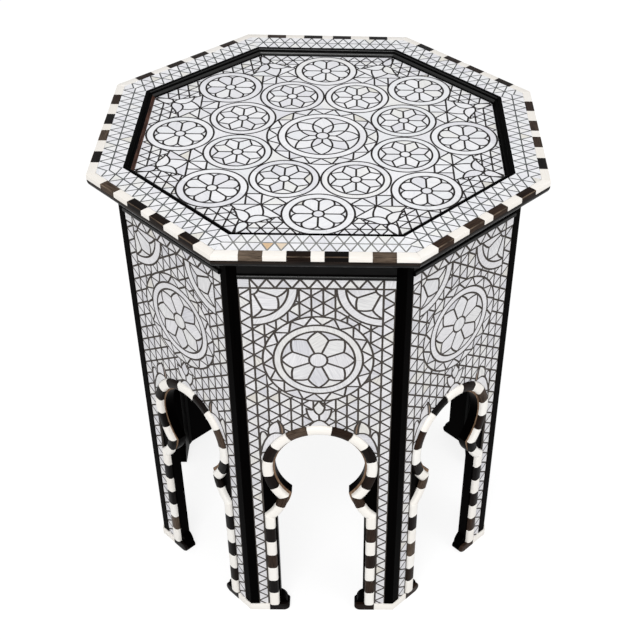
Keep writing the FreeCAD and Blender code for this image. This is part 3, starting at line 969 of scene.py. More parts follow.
class JointNetwork:
    """Joint lines of a mosaic, drawn flat in millimetres, that cut its sheet into tiles.

    Motifs are drawn from the top down: each one hides the lines that are drawn after it.
    """

    def __init__(self, sheet: Path, style: MosaicStyle) -> None:
        """Starts from the sheet's outline.

        Args:
            sheet: Outline of the sheet.
            style: How the mosaic is laid.
        """
        self.sheet = sheet
        self.style = style
        self._hidden: list[Path] = []
        self._lines: list[tuple[Path, Joint]] = []
        self.draw([*sheet, sheet[0]], kind=Joint.SEAM)

    def draw(self, path: Path, within: Path | None = None, kind: Joint = Joint.MAIN) -> None:
        """Draws a path where no motif hides it.

        Args:
            path: Points of the path.
            within: Outline that it stays in.
            kind: Kind of joint.
        """
        for start, end in zip(path, path[1:]):
            if (end - start).length < SHORTEST:
                continue
            parts = [[start, end]] if within is None else stretches(start, end, within, True)
            for outline in self._hidden:
                parts = [kept for part in parts for kept in stretches(*part, outline, False)]
            self._lines += [(part, kind) for part in parts]

    def hide(self, outline: Path) -> None:
        """Keeps later lines out of an outline."""
        self._hidden.append(outline)

    def motif(self, outline: Path) -> None:
        """Draws a closed outline that hides later lines."""
        self.draw([*outline, outline[0]])
        self.hide(outline)

    def ray(self, start: Vector, degrees: float, reach: float) -> Vector:
        """Draws a straight line up to the first motif in its way.

        Args:
            start: Where it starts.
            degrees: Its direction.
            reach: Its greatest length.

        Returns:
            Where it ends.
        """
        end = polar(start, reach, degrees)
        origin = polar(start, HAIRLINE, degrees)
        for outline in self._hidden:
            parts = stretches(origin, end, outline, False)
            if parts and (parts[0][0] - origin).length < SHORTEST:
                end = parts[0][1]
        self.draw([start, end])
        return end

    def cut(self) -> BMesh:
        """Cuts the sheet along the joints.

        Returns:
            A shape at z = 0 with one flat face for each tile, and half the joint's width on each edge.
        """
        wire = bmesh.new()
        kind_of = wire.edges.layers.int.new("kind")
        for line, kind in self._lines:
            ends = [wire.verts.new((*point, 0)) for point in line]
            wire.edges.new(ends)[kind_of] = kind
        bmesh.ops.remove_doubles(wire, verts=wire.verts, dist=WELD)
        wire.verts.index_update()
        lines = [(edge.verts[0].index, edge.verts[1].index) for edge in wire.edges]
        line_kinds = [Joint(edge[kind_of]) for edge in wire.edges]
        ends = [vert.co.xy for vert in wire.verts]
        wire.free()
        points, edges, faces, _, sources, _ = geometry.delaunay_2d_cdt(ends, lines, [], 0, MEETING, True)
        shape = bmesh.new()
        verts = [shape.verts.new((*point, 0)) for point in points]
        for face in faces:
            middle = sum((points[index] for index in face), Vector((0, 0))) / len(face)
            if inside(middle, self.sheet):
                shape.faces.new([verts[index] for index in face])
        half_width = shape.edges.layers.float.new("half_width")
        ground = shape.edges.layers.int.new("ground")
        diagonals = []
        for (first, last), source in zip(edges, sources):
            edge = shape.edges.get((verts[first], verts[last]))
            if edge is None:
                continue
            kinds = {line_kinds[index] for index in source}
            edge[ground] = int(kinds == {Joint.GROUND})
            edge[half_width] = max((self.style.half_width(kind) for kind in kinds), default=HAIRLINE)
            if not kinds:
                diagonals.append(edge)
        bmesh.ops.dissolve_edges(shape, edges=diagonals, use_verts=False)
        loose = [vert for vert in shape.verts if not vert.link_faces]
        bmesh.ops.delete(shape, geom=loose, context="VERTS")
        self._join_scraps(shape, ground)
        return shape

    def _join_scraps(self, shape: BMesh, ground: bmesh.types.BMLayerItem) -> None:
        """Joins tiles that are too small to lay with a neighbour of the ground pattern.

        Args:
            shape: Shape with the tiles.
            ground: Layer that marks the joints of the ground pattern.
        """
        for _ in range(SCRAP_ROUNDS):
            joints = []
            taken = set()
            for face in sorted(shape.faces, key=lambda item: item.calc_area()):
                if face.calc_area() > self.style.smallest_tile:
                    break
                choices = [edge for edge in face.edges if edge[ground] and len(edge.link_faces) == 2]
                choices = [edge for edge in choices if not taken.intersection(edge.link_faces)]
                if choices:
                    longest = max(choices, key=lambda edge: edge.calc_length())
                    joints.append(longest)
                    taken.update(longest.link_faces)
            if not joints:
                return
            bmesh.ops.dissolve_edges(shape, edges=joints, use_verts=False)


def drawn_in(outline: Path, widths: Sequence[float]) -> list[Path]:
    """What is left of an outline when each edge moves inwards by its own width.

    The moved edges run on to where they meet, and their crossings are resolved by a triangulation, of
    which the triangles that keep their distance from every edge are kept.

    Args:
        outline: Corners, counted to the left.
        widths: Distance that each edge moves, the first one starting at the first corner.

    Returns:
        Triangles that fill what is left.
    """
    count = len(outline)
    ways = [(outline[(index + 1) % count] - outline[index]).normalized() for index in range(count)]
    moved = []
    for index, corner in enumerate(outline):
        before, after = ways[index - 1], ways[index]
        start = corner + Vector((-before.y, before.x)) * widths[index - 1]
        end = corner + Vector((-after.y, after.x)) * widths[index]
        turn = before.x * after.y - before.y * after.x
        if abs(turn) < PARALLEL:
            moved.append((start + end) / 2)
            continue
        run = ((end - start).x * after.y - (end - start).y * after.x) / turn
        moved.append(start + before * max(run, -2 * widths[index]))
    ring = [(index, (index + 1) % count) for index in range(count)]
    points, _, faces, _, _, _ = geometry.delaunay_2d_cdt(moved, ring, [], 0, FINE, True)
    if not faces:
        return []
    places = np.array([point[:] for point in points])
    middles = places[np.array(faces)].mean(axis=1)[:, None, :]
    starts = np.array([corner[:] for corner in outline])
    spans = np.roll(starts, -1, axis=0) - starts
    share = ((middles - starts) * spans).sum(axis=2) / (spans**2).sum(axis=1)
    nearest = starts + np.clip(share, 0, 1)[..., None] * spans
    clear = (np.linalg.norm(middles - nearest, axis=2) > np.array(widths) - CLOSE).all(axis=1)
    kept = [face for face, good in zip(faces, clear) if good]
    triangles = [[points[index] for index in face] for face in kept]
    return [t for t in triangles if inside((t[0] + t[1] + t[2]) / 3, outline)]


class Mosaic:
    """A sheet of tiles let into mastic, made once and laid on one or more faces of the table."""

    def __init__(self, network: JointNetwork, stains: Sequence[tuple[Vector, float]] = ()) -> None:
        """Cuts the tiles and sets them in their bed.

        Args:
            network: Joint lines.
            stains: Points on tiles that are stained, and the tiles' tones.
        """
        self.style = network.style
        self.shape = bmesh.new()
        self.tone = self.shape.faces.layers.float.new("tone")
        self.grain = self.shape.loops.layers.uv.new("grain")
        self._cut_tiles(network)
        lifted = bmesh.ops.extrude_face_region(self.shape, geom=self.shape.faces[:], use_keep_orig=True)
        # Tiles come in another order on each run, so they are sorted by place to keep their tones.
        tiles = only(lifted["geom"], bmesh.types.BMFace)
        self.tiles = sorted(tiles, key=lambda tile: [round(x, 1) for x in tile.calc_center_median()])
        tops = only(lifted["geom"], bmesh.types.BMVert)
        bmesh.ops.translate(self.shape, vec=(0, 0, 2 * self.style.raised), verts=tops)
        bmesh.ops.translate(self.shape, vec=(0, 0, -self.style.raised), verts=self.shape.verts)
        self.stained = [
            (face, tone)
            for face in self.tiles
            for spot, tone in stains
            if inside(spot, [vert.co.xy for vert in face.verts])
        ]
        bed = [Vector((*point, 0)) for point in network.sheet]
        depth = self.style.thickness - self.style.raised
        for face in add_prism(self.shape, bed, Vector((0, 0, -depth))):
            face.material_index = 1

    def _cut_tiles(self, network: JointNetwork) -> None:
        """Draws each tile in by half of the joints round it.

        Args:
            network: Joint lines.
        """
        cut = network.cut()
        half_width = cut.edges.layers.float["half_width"]
        for face in cut.faces:
            outline = [loop.vert.co.xy for loop in face.loops]
            widths = [loop.edge[half_width] for loop in face.loops]
            for triangle in drawn_in(outline, widths):
                self.shape.faces.new([self.shape.verts.new((*point, 0)) for point in triangle])
        cut.free()
        bmesh.ops.remove_doubles(self.shape, verts=self.shape.verts, dist=TILE_WELD)
        inner = [edge for edge in self.shape.edges if len(edge.link_faces) == 2]
        bmesh.ops.dissolve_edges(self.shape, edges=inner, use_verts=False)

    def lay(self, place: Matrix, seed: int) -> BMesh:
        """A copy of the sheet, laid in its place with tiles of its own tones.

        Args:
            place: Turns the flat sheet to its place.
            seed: Start of its run of tones.

        Returns:
            The laid sheet.
        """
        chance = random.Random(seed)
        for face in self.tiles:
            turn = Matrix.Rotation(chance.uniform(0, math.tau), 2)
            shift = Vector((chance.uniform(0, GRAIN_SPREAD), chance.uniform(0, GRAIN_SPREAD)))
            cream = chance.random() < CREAM_SHARE and face.calc_area() < CREAM_AREA
            face[self.tone] = chance.uniform(*(CREAM_TONES if cream else SHELL_TONES))
            for loop in face.loops:
                loop[self.grain].uv = shift + turn @ loop.vert.co.xy
        for face, tone in self.stained:
            face[self.tone] = tone
        laid = self.shape.copy()
        bmesh.ops.transform(laid, matrix=place, verts=laid.verts)
        return laid


class Petal(Enum):
    """How the petals of a medallion end."""

    KITE = "kite"
    OGEE = "ogee"
    ROUND = "round"


@dataclass(frozen=True)
class Medallion:
    """Round motif of a mosaic: a hub, eight petals and a ring of shell."""

    hub: float
    fork: float
    ring_inner: float
    ring_outer: float
    petal: Petal
    first_tip: float
    seams: int
    petals: int = 8
    shoulder_rise: float = 0.55
    shoulder_spread: float = 0.6
    seam_drift: float = 0.3
    seam_phase: float = 7.1

    def petal_end(self, centre: Vector, tip: float) -> Path:
        """Outline of a petal's end, from fork to fork.

        Args:
            centre: Middle of the medallion.
            tip: Angle of the petal's tip, in degrees.

        Returns:
            Points of the outline.
        """
        half = 180 / self.petals
        forks = [polar(centre, self.fork, tip + hand * half) for hand in (-1, 1)]
        point = polar(centre, self.ring_inner, tip)
        if self.petal is Petal.KITE:
            return [forks[0], point, forks[1]]
        if self.petal is Petal.OGEE:
            shoulder = self.fork + self.shoulder_rise * (self.ring_inner - self.fork)
            sides = [
                bend(fork, polar(centre, shoulder, tip + hand * self.shoulder_spread * half), point)
                for fork, hand in zip(forks, (-1, 1))
            ]
            return [*sides[0], *reversed(sides[1])]
        middle = (forks[0] + forks[1]) / 2
        radius = (forks[0] - middle).length
        return arc_about(middle, radius, tip - 90, tip + 90, 2 * ARC_STEP)

    def draw(self, network: JointNetwork, centre: Vector, within: Path | None = None) -> None:
        """Draws the medallion's joints.

        Args:
            network: Joints of the mosaic.
            centre: Middle of the medallion.
            within: Outline that it stays in, for a part of a medallion.
        """
        step = 360 / self.petals
        inner = circle(centre, self.ring_inner)
        hub = circle(centre, self.hub)
        clip = within or inner
        network.draw([*hub, hub[0]], within)
        network.draw([*inner, inner[0]], within)
        for index in range(self.petals):
            tip = self.first_tip + step * index
            divider = tip + step / 2
            network.draw([polar(centre, self.hub, divider), polar(centre, self.fork, divider)], within)
            network.draw(self.petal_end(centre, tip), clip)
        for index in range(self.seams):
            drift = self.seam_drift * math.sin(self.seam_phase * index + centre.x)
            angle = 360 * (index + drift) / self.seams
            seam = [polar(centre, self.ring_inner, angle), polar(centre, self.ring_outer, angle)]
            network.draw(seam, within, Joint.SEAM)
        network.motif(within or circle(centre, self.ring_outer))


def zigzag(centre: Vector, inner: float, outer: float, points: int, first: float) -> Path:
    """Closed zigzag between two circles.

    Args:
        centre: Middle of the circles.
        inner: Radius of the inner one.
        outer: Radius of the outer one.
        points: Number of points on each.
        first: Angle of the first outer point, in degrees.

    Returns:
        Its points, the first one repeated at the end.
    """
    step = 180 / points
    radii = (outer, inner)
    return [polar(centre, radii[index % 2], first + step * index) for index in range(2 * points + 1)]


# Sub-assemblies


@dataclass
class SideVeneer:
    """Shell mosaic on each side: a medallion, two quarter medallions, a tulip and half palmettes."""

    sizes: TableSizes = SIZES
    columns: int = 13
    crossing_height: float = 511.1
    pitch: float = 12.42
    period: float = 17.67
    row_line: float = 520.7
    lift: float = 1.5
    curl: tuple[float, float] = (41.6, 323.0)
    foot: float = 1.0
    medallion_height: float = 424.9
    band_radius: float = 59.4
    band_points: int = 16
    row_bases: int = 8
    style: MosaicStyle = MosaicStyle(
        main=2.4, ground=2.2, seam=0.35, raised=0.25, thickness=2.0, smallest_tile=9.0
    )
    medallion: Medallion = Medallion(9.8, 29.5, 39.6, 48.0, Petal.OGEE, 0.0, 8)
    quarter: Medallion = Medallion(8.3, 29.2, 38.8, 48.3, Petal.OGEE, 0.0, 9)

    def outline(self) -> Path:
        """Draws the outline of the sheet: a plain stilted arch.

        Returns:
            Its corners.
        """
        s = self.sizes
        crown = arc_about(Vector((0, s.spring)), s.veneer_cut, 180, 0)
        return [
            *through((-s.board_edge, self.foot), (-s.veneer_cut, self.foot)),
            *crown,
            *through((s.veneer_cut, self.foot), (s.board_edge, self.foot)),
            *through((s.board_edge, s.cornice_bottom), (-s.board_edge, s.cornice_bottom)),
        ]

    @property
    def half_field(self) -> float:
        """Half the width of the lattice between its outermost upright lines."""
        return self.pitch * (self.columns - 2) / 2

    def draw_medallions(self, network: JointNetwork) -> None:
        """Draws the round medallion and the quarter medallions in the upper corners.

        Args:
            network: Joints of the mosaic.
        """
        centre = Vector((0, self.medallion_height))
        self.medallion.draw(network, centre)
        step = 360 / self.band_points
        inner = self.medallion.ring_outer
        network.draw(zigzag(centre, inner, self.band_radius, self.band_points, step / 4))
        network.motif(circle(centre, self.band_radius))
        for hand, first in ((-1, 270), (1, 180)):
            corner = Vector((hand * self.half_field, self.row_line))
            sector = [corner, *arc_about(corner, self.quarter.ring_outer, first, first + 90)]
            self.quarter.draw(network, corner, sector)

    def lifted(self, path: Path) -> Path:
        """A path of the tulip or the palmettes, moved up to its place."""
        return [Vector((point.x, point.y + self.lift)) for point in path]

    def draw_tulip(self, network: JointNetwork) -> None:
        """Draws the tulip between the medallion and the arch.

        Its points are distances from the middle of the side, and heights before the lift.

        Args:
            network: Joints of the mosaic.
        """
        axis_top, axis_foot = through((0, 343.0), (0, 334.6))
        tip, side, base = through((-14.0, 352.4), (-6.4, 354.6), (-7.0, 333.0))
        dome = bend(*through((-13.5, 322.0), (0, 348.0), (13.5, 322.0)))
        network.motif(self.lifted(dome))
        bud = [
            *bend(*through((0, 365.0), (-2.6, 359.5)), side, 5),
            *bend(side, Vector((-5.6, 346.5)), axis_top, 6)[1:],
        ]
        network.motif(self.lifted([*bud, *reversed(mirrored(bud))]))
        petal = [
            axis_top,
            *bend(*through((-5.2, 351.0), (-9.5, 350.0)), tip, 6),
            *bend(tip, Vector((-13.5, 340.0)), base, 7)[1:],
            axis_foot,
        ]
        network.motif(self.lifted(petal))
        network.motif(self.lifted(mirrored(petal)))

    def draw_palmettes(self, network: JointNetwork) -> None:
        """Draws the half palmette on each shoulder of the arch, with points given as the tulip's are.

        Args:
            network: Joints of the mosaic.
        """
        s = self.sizes
        crown = Vector((0, s.spring - self.lift))
        sweep = bend(*through((-40.0, 312.4), (-60.0, 324.2), (-s.veneer_cut, 283.0)))
        back = [polar(crown, s.veneer_cut - 1.0, angle) for angle in (158, 147, 136, 127)]
        crescent = [*sweep, *back]
        tip = Vector((-46.8, 333.0))
        leaf = [
            *bend(tip, *through((-62.0, 326.0), (-56.0, 308.0))),
            *bend(*through((-44.0, 308.0), (-43.0, 325.0)), tip),
        ]
        outer = [
            *bend(*through((-58.0, 306.0), (-60.0, 318.0), (-64.4, 316.6))),
            *bend(*through((-64.4, 316.6), (-67.3, 315.5), (-s.veneer_cut, 306.0))),
            Vector((-s.veneer_cut, 280.0)),
        ]
        curl = [
            *bend(tip + Vector((0.6, 1.2)), *through((-37.5, 325.0), (-40.5, 310.0)), 7),
            *reversed(bend(tip, *through((-43.0, 325.0), (-44.0, 308.0)), 7)),
        ]
        for shape in (crescent, leaf, outer, curl):
            network.motif(self.lifted(shape))
            network.motif(self.lifted(mirrored(shape)))

    def lattice(self) -> list[Path]:
        """Draws the triangle lattice: upright lines and two runs of slanting ones.

        Returns:
            The lines.
        """
        start = Vector((-self.half_field - self.pitch, self.crossing_height))
        lines = []
        for index in range(self.columns + 1):
            along = start.x + self.pitch * index
            lines.append(through((along, self.foot), (along, self.row_line)))
        across = Vector((self.pitch * self.columns, self.period / 2 * self.columns))
        rows = math.ceil((start.y - self.foot + across.y) / self.period)
        height = start.y - rows * self.period
        while height < self.row_line + across.y:
            left = Vector((start.x, height))
            lines.append([left, left + across])
            lines.append([left, left + Vector((across.x, -across.y))])
            height += self.period
        return lines

    def draw_ground(self, network: JointNetwork) -> None:
        """Draws the top row and the triangle lattice.

        Args:
            network: Joints of the mosaic.
        """
        s = self.sizes
        row = self.row_line
        edge = s.board_edge
        network.draw(through((-edge, row), (edge, row)))
        base = 2 * self.half_field / self.row_bases
        peaks = [
            Vector((-self.half_field + base / 2 * index, row if index % 2 else s.cornice_bottom))
            for index in range(2 * self.row_bases + 1)
        ]
        network.draw(peaks)
        for along in (-self.half_field, self.half_field):
            network.draw(through((along, row), (along, s.cornice_bottom)))
        ground = through((-edge, self.foot), (edge, self.foot), (edge, row), (-edge, row))
        for line in self.lattice():
            network.draw(line, ground, Joint.GROUND)

    def network(self) -> JointNetwork:
        """Draws the joints of one side.

        Returns:
            The joints.
        """
        network = JointNetwork(self.outline(), self.style)
        self.draw_medallions(network)
        self.draw_tulip(network)
        self.draw_palmettes(network)
        self.draw_ground(network)
        return network

    def build(self, shell: Material, mastic: Material) -> None:
        """Makes the mosaic and lays it on the eight sides.

        Args:
            shell: Material of the tiles.
            mastic: Material of the joints.
        """
        curls = [(Vector((hand * self.curl[0], self.curl[1] + self.lift)), 1.0) for hand in (-1, 1)]
        mosaic = Mosaic(self.network(), curls)
        face = self.sizes.board_front + self.sizes.shell - self.style.raised
        upright = Matrix(((1, 0, 0, 0), (0, 0, -1, -face), (0, 1, 0, 0), (0, 0, 0, 1)))
        for side in range(SIDES):
            place = Matrix.Rotation(side * EIGHTH_TURN, 4, "Z") @ upright
            laid = mosaic.lay(place, Seed.SIDE_MOSAICS + side)
            stands_for = [f"side_shell_{side + 1}"]
            place_piece(f"side_mosaic_{side + 1}", laid, [shell, mastic], stands_for)


@dataclass
class TrayFloor:
    """Shell mosaic of the sunk tray: rings of medallions round a rosette, and leaves in the corners."""

    sizes: TableSizes = SIZES
    rosette_hub: float = 7.3
    rosette_tip: float = 41.8
    rosette_ring: float = 50.6
    petal_feet: tuple[float, float] = (5.66, 10.5)
    petal_radii: tuple[float, float] = (23.5, 32.9)
    petal_split: float = 14.85
    ring_seams: int = 5
    first_seam: float = 17.0
    seam_drift: float = 9.0
    band_radius: float = 63.0
    band_points: int = 16
    inner_radius: float = 101.0
    outer_radius: float = 161.3
    star_radius: float = 157.0
    row_height: float = 11.0
    row_base: float = 14.9
    rows: int = 3
    row_start: float = 42.3
    row_inset: float = 0.7
    row_columns: tuple[int, int] = (-3, 5)
    row_margin: tuple[float, float] = (9.0, 3.7)
    style: MosaicStyle = MosaicStyle(
        main=2.2, ground=1.9, seam=0.3, raised=0.2, thickness=2.0, smallest_tile=7.0
    )
    inner: Medallion = Medallion(6.0, 21.3, 30.2, 37.8, Petal.KITE, 22.5, 5)
    outer: Medallion = Medallion(6.0, 22.6, 29.4, 38.0, Petal.ROUND, 22.5, 5)

    def draw_rosette(self, network: JointNetwork) -> None:
        """Draws the rosette of crossing petals in the middle, its ring and its zigzag band.

        Args:
            network: Joints of the mosaic.
        """
        middle = Vector((0, 0))
        tip = Vector((self.rosette_tip, 0))
        inner = circle(middle, self.rosette_tip)
        hub = circle(middle, self.rosette_hub)
        network.draw([*hub, hub[0]])
        network.draw([*inner, inner[0]])
        petals = [
            arc_between(tip, Vector((foot, foot)), radius, True)
            for foot, radius in zip(self.petal_feet, self.petal_radii)
        ]
        split = through((self.rosette_hub, 0), (self.petal_split, 0))
        for index in range(SIDES):
            side = petals[index % 2]
            for path in (side, [Vector((p.x, -p.y)) for p in side]):
                network.draw(turned(path, index * EIGHTH_TURN))
            if index % 2 == 0:
                network.draw(turned(split, index * EIGHTH_TURN))
        for index in range(self.ring_seams):
            drift = self.seam_drift * math.sin(self.ring_seams * index)
            angle = self.first_seam + 360 / self.ring_seams * index + drift
            seam = [polar(middle, self.rosette_tip, angle), polar(middle, self.rosette_ring, angle)]
            network.draw(seam, kind=Joint.SEAM)
        network.motif(circle(middle, self.rosette_ring))
        first = 180 / self.band_points
        network.draw(zigzag(middle, self.rosette_ring, self.band_radius, self.band_points, first))

    def draw_corner(self, network: JointNetwork, angle: float) -> None:
        """Draws the leaves, the bell and the star on one corner axis.

        Its points are distances along that axis and across it, and its rays are turned from that axis.

        Args:
            network: Joints of the mosaic.
            angle: Direction of the corner, in radians.
        """
        degrees = math.degrees(angle)

        def at(along: float, across: float) -> Vector:
            """Point given along the corner axis and across it."""
            return Matrix.Rotation(angle, 2) @ Vector((along, across))

        curve = geometry.interpolate_bezier
        bud = [
            *curve(at(193, 0), at(195, -9.5), at(206, -5.5), at(216, 0), 8),
            *curve(at(216, 0), at(206, 5.5), at(195, 9.5), at(193, 0), 8)[1:-1],
        ]
        network.motif(bud)
        star = at(self.star_radius, 0)
        for hand in (-1, 1):
            base, tip = at(192.6, hand * 1.0), at(177, hand * 23)
            leaf = [
                *curve(base, at(178, -hand * 4.5), at(171, hand * 10), tip, 12),
                *curve(tip, at(178.5, hand * 14), at(193, hand * 14), base, 10)[1:-1],
            ]
            network.motif(leaf)
        for hand in (-1, 1):
            point = at(175.6, hand * 11)
            network.draw(bend(star, at(166.5, hand * 9), point))
            network.ray(at(174.2, hand * 10.8), degrees + hand * 157.5, 60)
            network.ray(at(176.5, hand * 18.5), degrees + hand * 123, 40)
        bell = [
            star,
            *bend(star, at(166.5, 9), at(174.0, 11)),
            at(184, 0),
            *reversed(bend(star, at(166.5, -9), at(174.0, -11))),
        ]
        network.hide(bell)
        for hand in (-1, 1):
            for spread in (67.5, 112.5):
                network.ray(star, degrees + hand * spread, 60)
            end = network.ray(star, degrees + hand * 157.5, 60)
            network.ray(end, degrees + hand * 67.5, 60)
        ground = [(176, -19), (169, -30), (140, -62), (100, 0), (140, 62), (169, 30), (176, 19), (186, 0)]
        network.hide([at(*place) for place in ground])

    def draw_rows(self, network: JointNetwork, angle: float) -> None:
        """Draws the rows of triangles along one edge of the tray.

        Args:
            network: Joints of the mosaic.
            angle: Direction of the edge's middle, in radians.
        """
        edge = self.sizes.floor_edge
        corner = edge * TAN
        middle = Vector((0, 0))
        far, wide = edge + self.row_margin[0], corner + self.row_margin[1]
        sector = turned([middle, Vector((far, wide)), Vector((far, -wide))], angle)
        outer = edge - self.row_inset
        for row in range(1, self.rows + 1):
            apothem = outer - self.row_height * row
            line = turned(through((apothem, -corner), (apothem, corner)), angle)
            network.draw(line, sector, Joint.GROUND)
        for hand in (-1, 1):
            half = turned([middle, Vector((far, 0)), Vector((far, hand * wide))], angle)
            for index in range(*self.row_columns):
                foot = hand * (self.row_start + self.row_base * index)
                start = Vector((outer - self.row_height, foot))
                for way in (-1, 1):
                    slant = Vector((self.row_height, way * self.row_base / 2))
                    path = [start + slant, start + slant * (1 - self.rows)]
                    network.draw(turned(path, angle), half, Joint.GROUND)

    def network(self) -> JointNetwork:
        """Draws the joints of the tray floor.

        Returns:
            The joints.
        """
        corner = self.sizes.floor_edge * TAN
        edge = [Vector((self.sizes.floor_edge, -corner))]
        sheet = [p for index in range(SIDES) for p in turned(edge, index * EIGHTH_TURN)]
        network = JointNetwork(sheet, self.style)
        self.draw_rosette(network)
        origin = Vector((0, 0))
        step = 360 / SIDES
        for index in range(SIDES):
            self.inner.draw(network, polar(origin, self.inner_radius, step / 2 + step * index))
            self.outer.draw(network, polar(origin, self.outer_radius, step * index))
        network.motif(circle(origin, self.band_radius))
        for index in range(SIDES):
            self.draw_corner(network, CORNER_ANGLE + index * EIGHTH_TURN)
        for index in range(SIDES):
            self.draw_rows(network, index * EIGHTH_TURN)
        return network

    def build(self, shell: Material, mastic: Material) -> None:
        """Makes the mosaic and lays it on the tray floor.

        Args:
            shell: Material of the tiles.
            mastic: Material of the joints.
        """
        place = Matrix.Translation((0, 0, self.sizes.floor_top - self.style.raised))
        laid = Mosaic(self.network()).lay(place, Seed.TRAY_MOSAIC)
        place_piece("tray_mosaic", laid, [shell, mastic], ["top_shell_field"])


@dataclass
class TopFrame:
    """Frame of the tray: rails, shell border, recess moulding and the rim of bone and dark blocks."""

    sizes: TableSizes = SIZES
    base: float = 13.6
    bases: int = 16
    moulding_lip: float = 4.8
    lip_round: float = 1.6
    moulding_quirk: float = 0.5
    quirk_depth: float = 2.2
    moulding_round: float = 4.3
    moulding_step: float = 1.0
    step_width: float = 1.8
    moulding_ease: float = 0.25
    moulding_shine: tuple[float, float] = (0.2, 0.8)
    worn_height: float = 3.4
    worn_width: float = 3.0
    rail_ease: float = 0.4
    rail_rub: tuple[float, float] = (0.5, 0.1)
    rail_nosing: float = 0.2
    rail_fillet: float = 1.0
    rail_thumb: float = 10.5
    rail_undercut: float = 7.0
    rail_radius: float = 10.0
    rail_slope: float = 14.0
    middle_block: float = 13.7
    blocks_each_way: int = 4
    rim_round: float = 0.9
    front_shift: float = 1.9
    block_gap: float = 0.12
    block_ease: float = 0.25
    style: MosaicStyle = MosaicStyle(
        main=1.6, ground=1.6, seam=0.3, raised=0.12, thickness=2.0, smallest_tile=5.0
    )
    seen_tones: tuple[tuple[float, ...], ...] = (
        (1.0, 0.55, 0.1, 0.95),
        (0.8, 0.82, 0.78, 0.6),
        (0.1, 0.85, 0.85, 0.75),
        (),
        (),
        (),
        (0.75, 0.05, 0.9, 0.3),
        (0.9, 0.25, 0.5, 0.45),
    )
    stains: tuple[tuple[float, float, float], ...] = ((-47.6, 227.0, 1.0), (-34.0, 226.5, 0.99))

    def build_border(self, shell: Material, mastic: Material, front_mastic: Material) -> None:
        """Makes the border's mosaic and lays it on the eight rails.

        Args:
            shell: Material of the tiles.
            mastic: Material of the joints.
            front_mastic: Material of the joints on the front side.
        """
        s = self.sizes
        inner, outer = s.recess_edge, s.border_edge
        middle = (inner + outer) / 2
        ends = ((-1, inner), (-1, outer), (1, outer), (1, inner))
        sheet = through(*((hand * apothem * TAN, -apothem) for hand, apothem in ends))
        network = JointNetwork(sheet, self.style)
        network.draw(through((-middle * TAN, -middle), (middle * TAN, -middle)))
        network.draw(sheet[:2])
        network.draw(sheet[2:])
        half = (outer - inner) / 2
        for index in range(-self.bases // 2, self.bases // 2 + 1):
            crossing = Vector((index * self.base, -middle))
            for way in (-1, 1):
                slant = Vector((way * self.base / 2, half))
                network.draw([crossing - slant, crossing + slant], sheet, Joint.GROUND)
        stains = [(Vector((along, -apothem)), tone) for along, apothem, tone in self.stains]
        mosaic = Mosaic(network, stains)
        for side in range(SIDES):
            if side == 1:
                mosaic.stained = []
            turn = Matrix.Rotation(side * EIGHTH_TURN, 4, "Z")
            place = turn @ Matrix.Translation((0, 0, s.height - self.style.raised))
            laid = mosaic.lay(place, Seed.BORDER_MOSAICS + side)
            stands_for = ["border_shell_strips"] if side == 0 else []
            finishes = [shell, mastic if side else front_mastic]
            place_piece(f"border_mosaic_{side + 1}", laid, finishes, stands_for)

    def build_rails(self, wood: Material, rubbed: Material) -> None:
        """Makes the rails, rubbed along their outer edge.

        Args:
            wood: Material of the rails.
            rubbed: Material of the rubbed edge.
        """
        s = self.sizes
        nose = s.rim_edge - self.rail_nosing
        seat = s.height - s.rim_height
        low = Vector((nose - self.rail_undercut, seat - self.rail_thumb))
        under = arc_between(Vector((nose, seat - self.rail_fillet)), low, self.rail_radius, False)
        under.append(Vector((nose - self.rail_slope, s.rail_bottom)))
        bed = s.height - s.shell
        rail = [
            *through((s.recess_edge, s.rail_bottom), (s.recess_edge, bed), (s.border_edge, bed)),
            *through((s.border_edge, seat), (nose, seat)),
            *under,
        ]
        rails = mitred_length(rail, self.rail_ease)
        deep, drop = self.rail_rub
        for face in rails.faces:
            middle = face.calc_center_median()
            face.material_index = int(-middle.y > nose - deep and middle.z < seat - drop)
        names = numbered("top_rail")
        finishes = [wood, rubbed]
        place_piece("rails_black", rails, finishes, names, WOOD_SMOOTH, Seed.RAILS)

    def build_moulding(self, wood: Material, wear_and_highlight: Material, highlight_gloss: Material) -> None:
        """Makes the moulding round the recess.

        Args:
            wood: Material of the moulding.
            wear_and_highlight: Material of the foot of its left length.
            highlight_gloss: Material of the painted highlight on the rounded edges of its far lengths.
        """
        s = self.sizes
        board_top = s.floor_top - s.shell
        lip = s.recess_edge - self.moulding_lip
        low = Vector((s.floor_edge + self.step_width, s.floor_top + self.moulding_step))
        high = Vector((lip - self.moulding_quirk, s.height - self.quirk_depth))
        under = Vector((lip, s.height - self.lip_round))
        over = Vector((lip + self.lip_round, s.height))
        moulding = [
            *through((s.floor_edge, board_top), (s.floor_edge, low.y)),
            *arc_between(low, high, self.moulding_round, False),
            Vector((lip, high.y)),
            *arc_between(under, over, self.lip_round, False),
            *through((s.recess_edge, s.height), (s.recess_edge, board_top)),
        ]
        shape = mitred_length(moulding, self.moulding_ease)
        # Painted highlight: faces that tilt up towards the middle, within the shine's range, take the
        # glossier black.
        low, high = self.moulding_shine
        for face in shape.faces:
            face.material_index = 2 if face.normal.y > 0 and low < face.normal.z < high else 0
        all_round(shape)
        grain_blocks(shape, random.Random(Seed.MOULDING))
        # The left length's red foot is marked, and the near lengths lose the painted highlight and stay
        # plain black.
        for face in shape.faces:
            middle = face.calc_center_median()
            if middle.x < self.worn_width - s.floor_edge and middle.z < s.floor_top + self.worn_height:
                face.material_index = 1
            elif middle.y < s.floor_edge / 2:
                face.material_index = 0
        finishes = [wood, wear_and_highlight, highlight_gloss]
        stands_for = ["recess_moulding"]
        place_piece("recess_moulding_black", shape, finishes, stands_for, WOOD_SMOOTH)

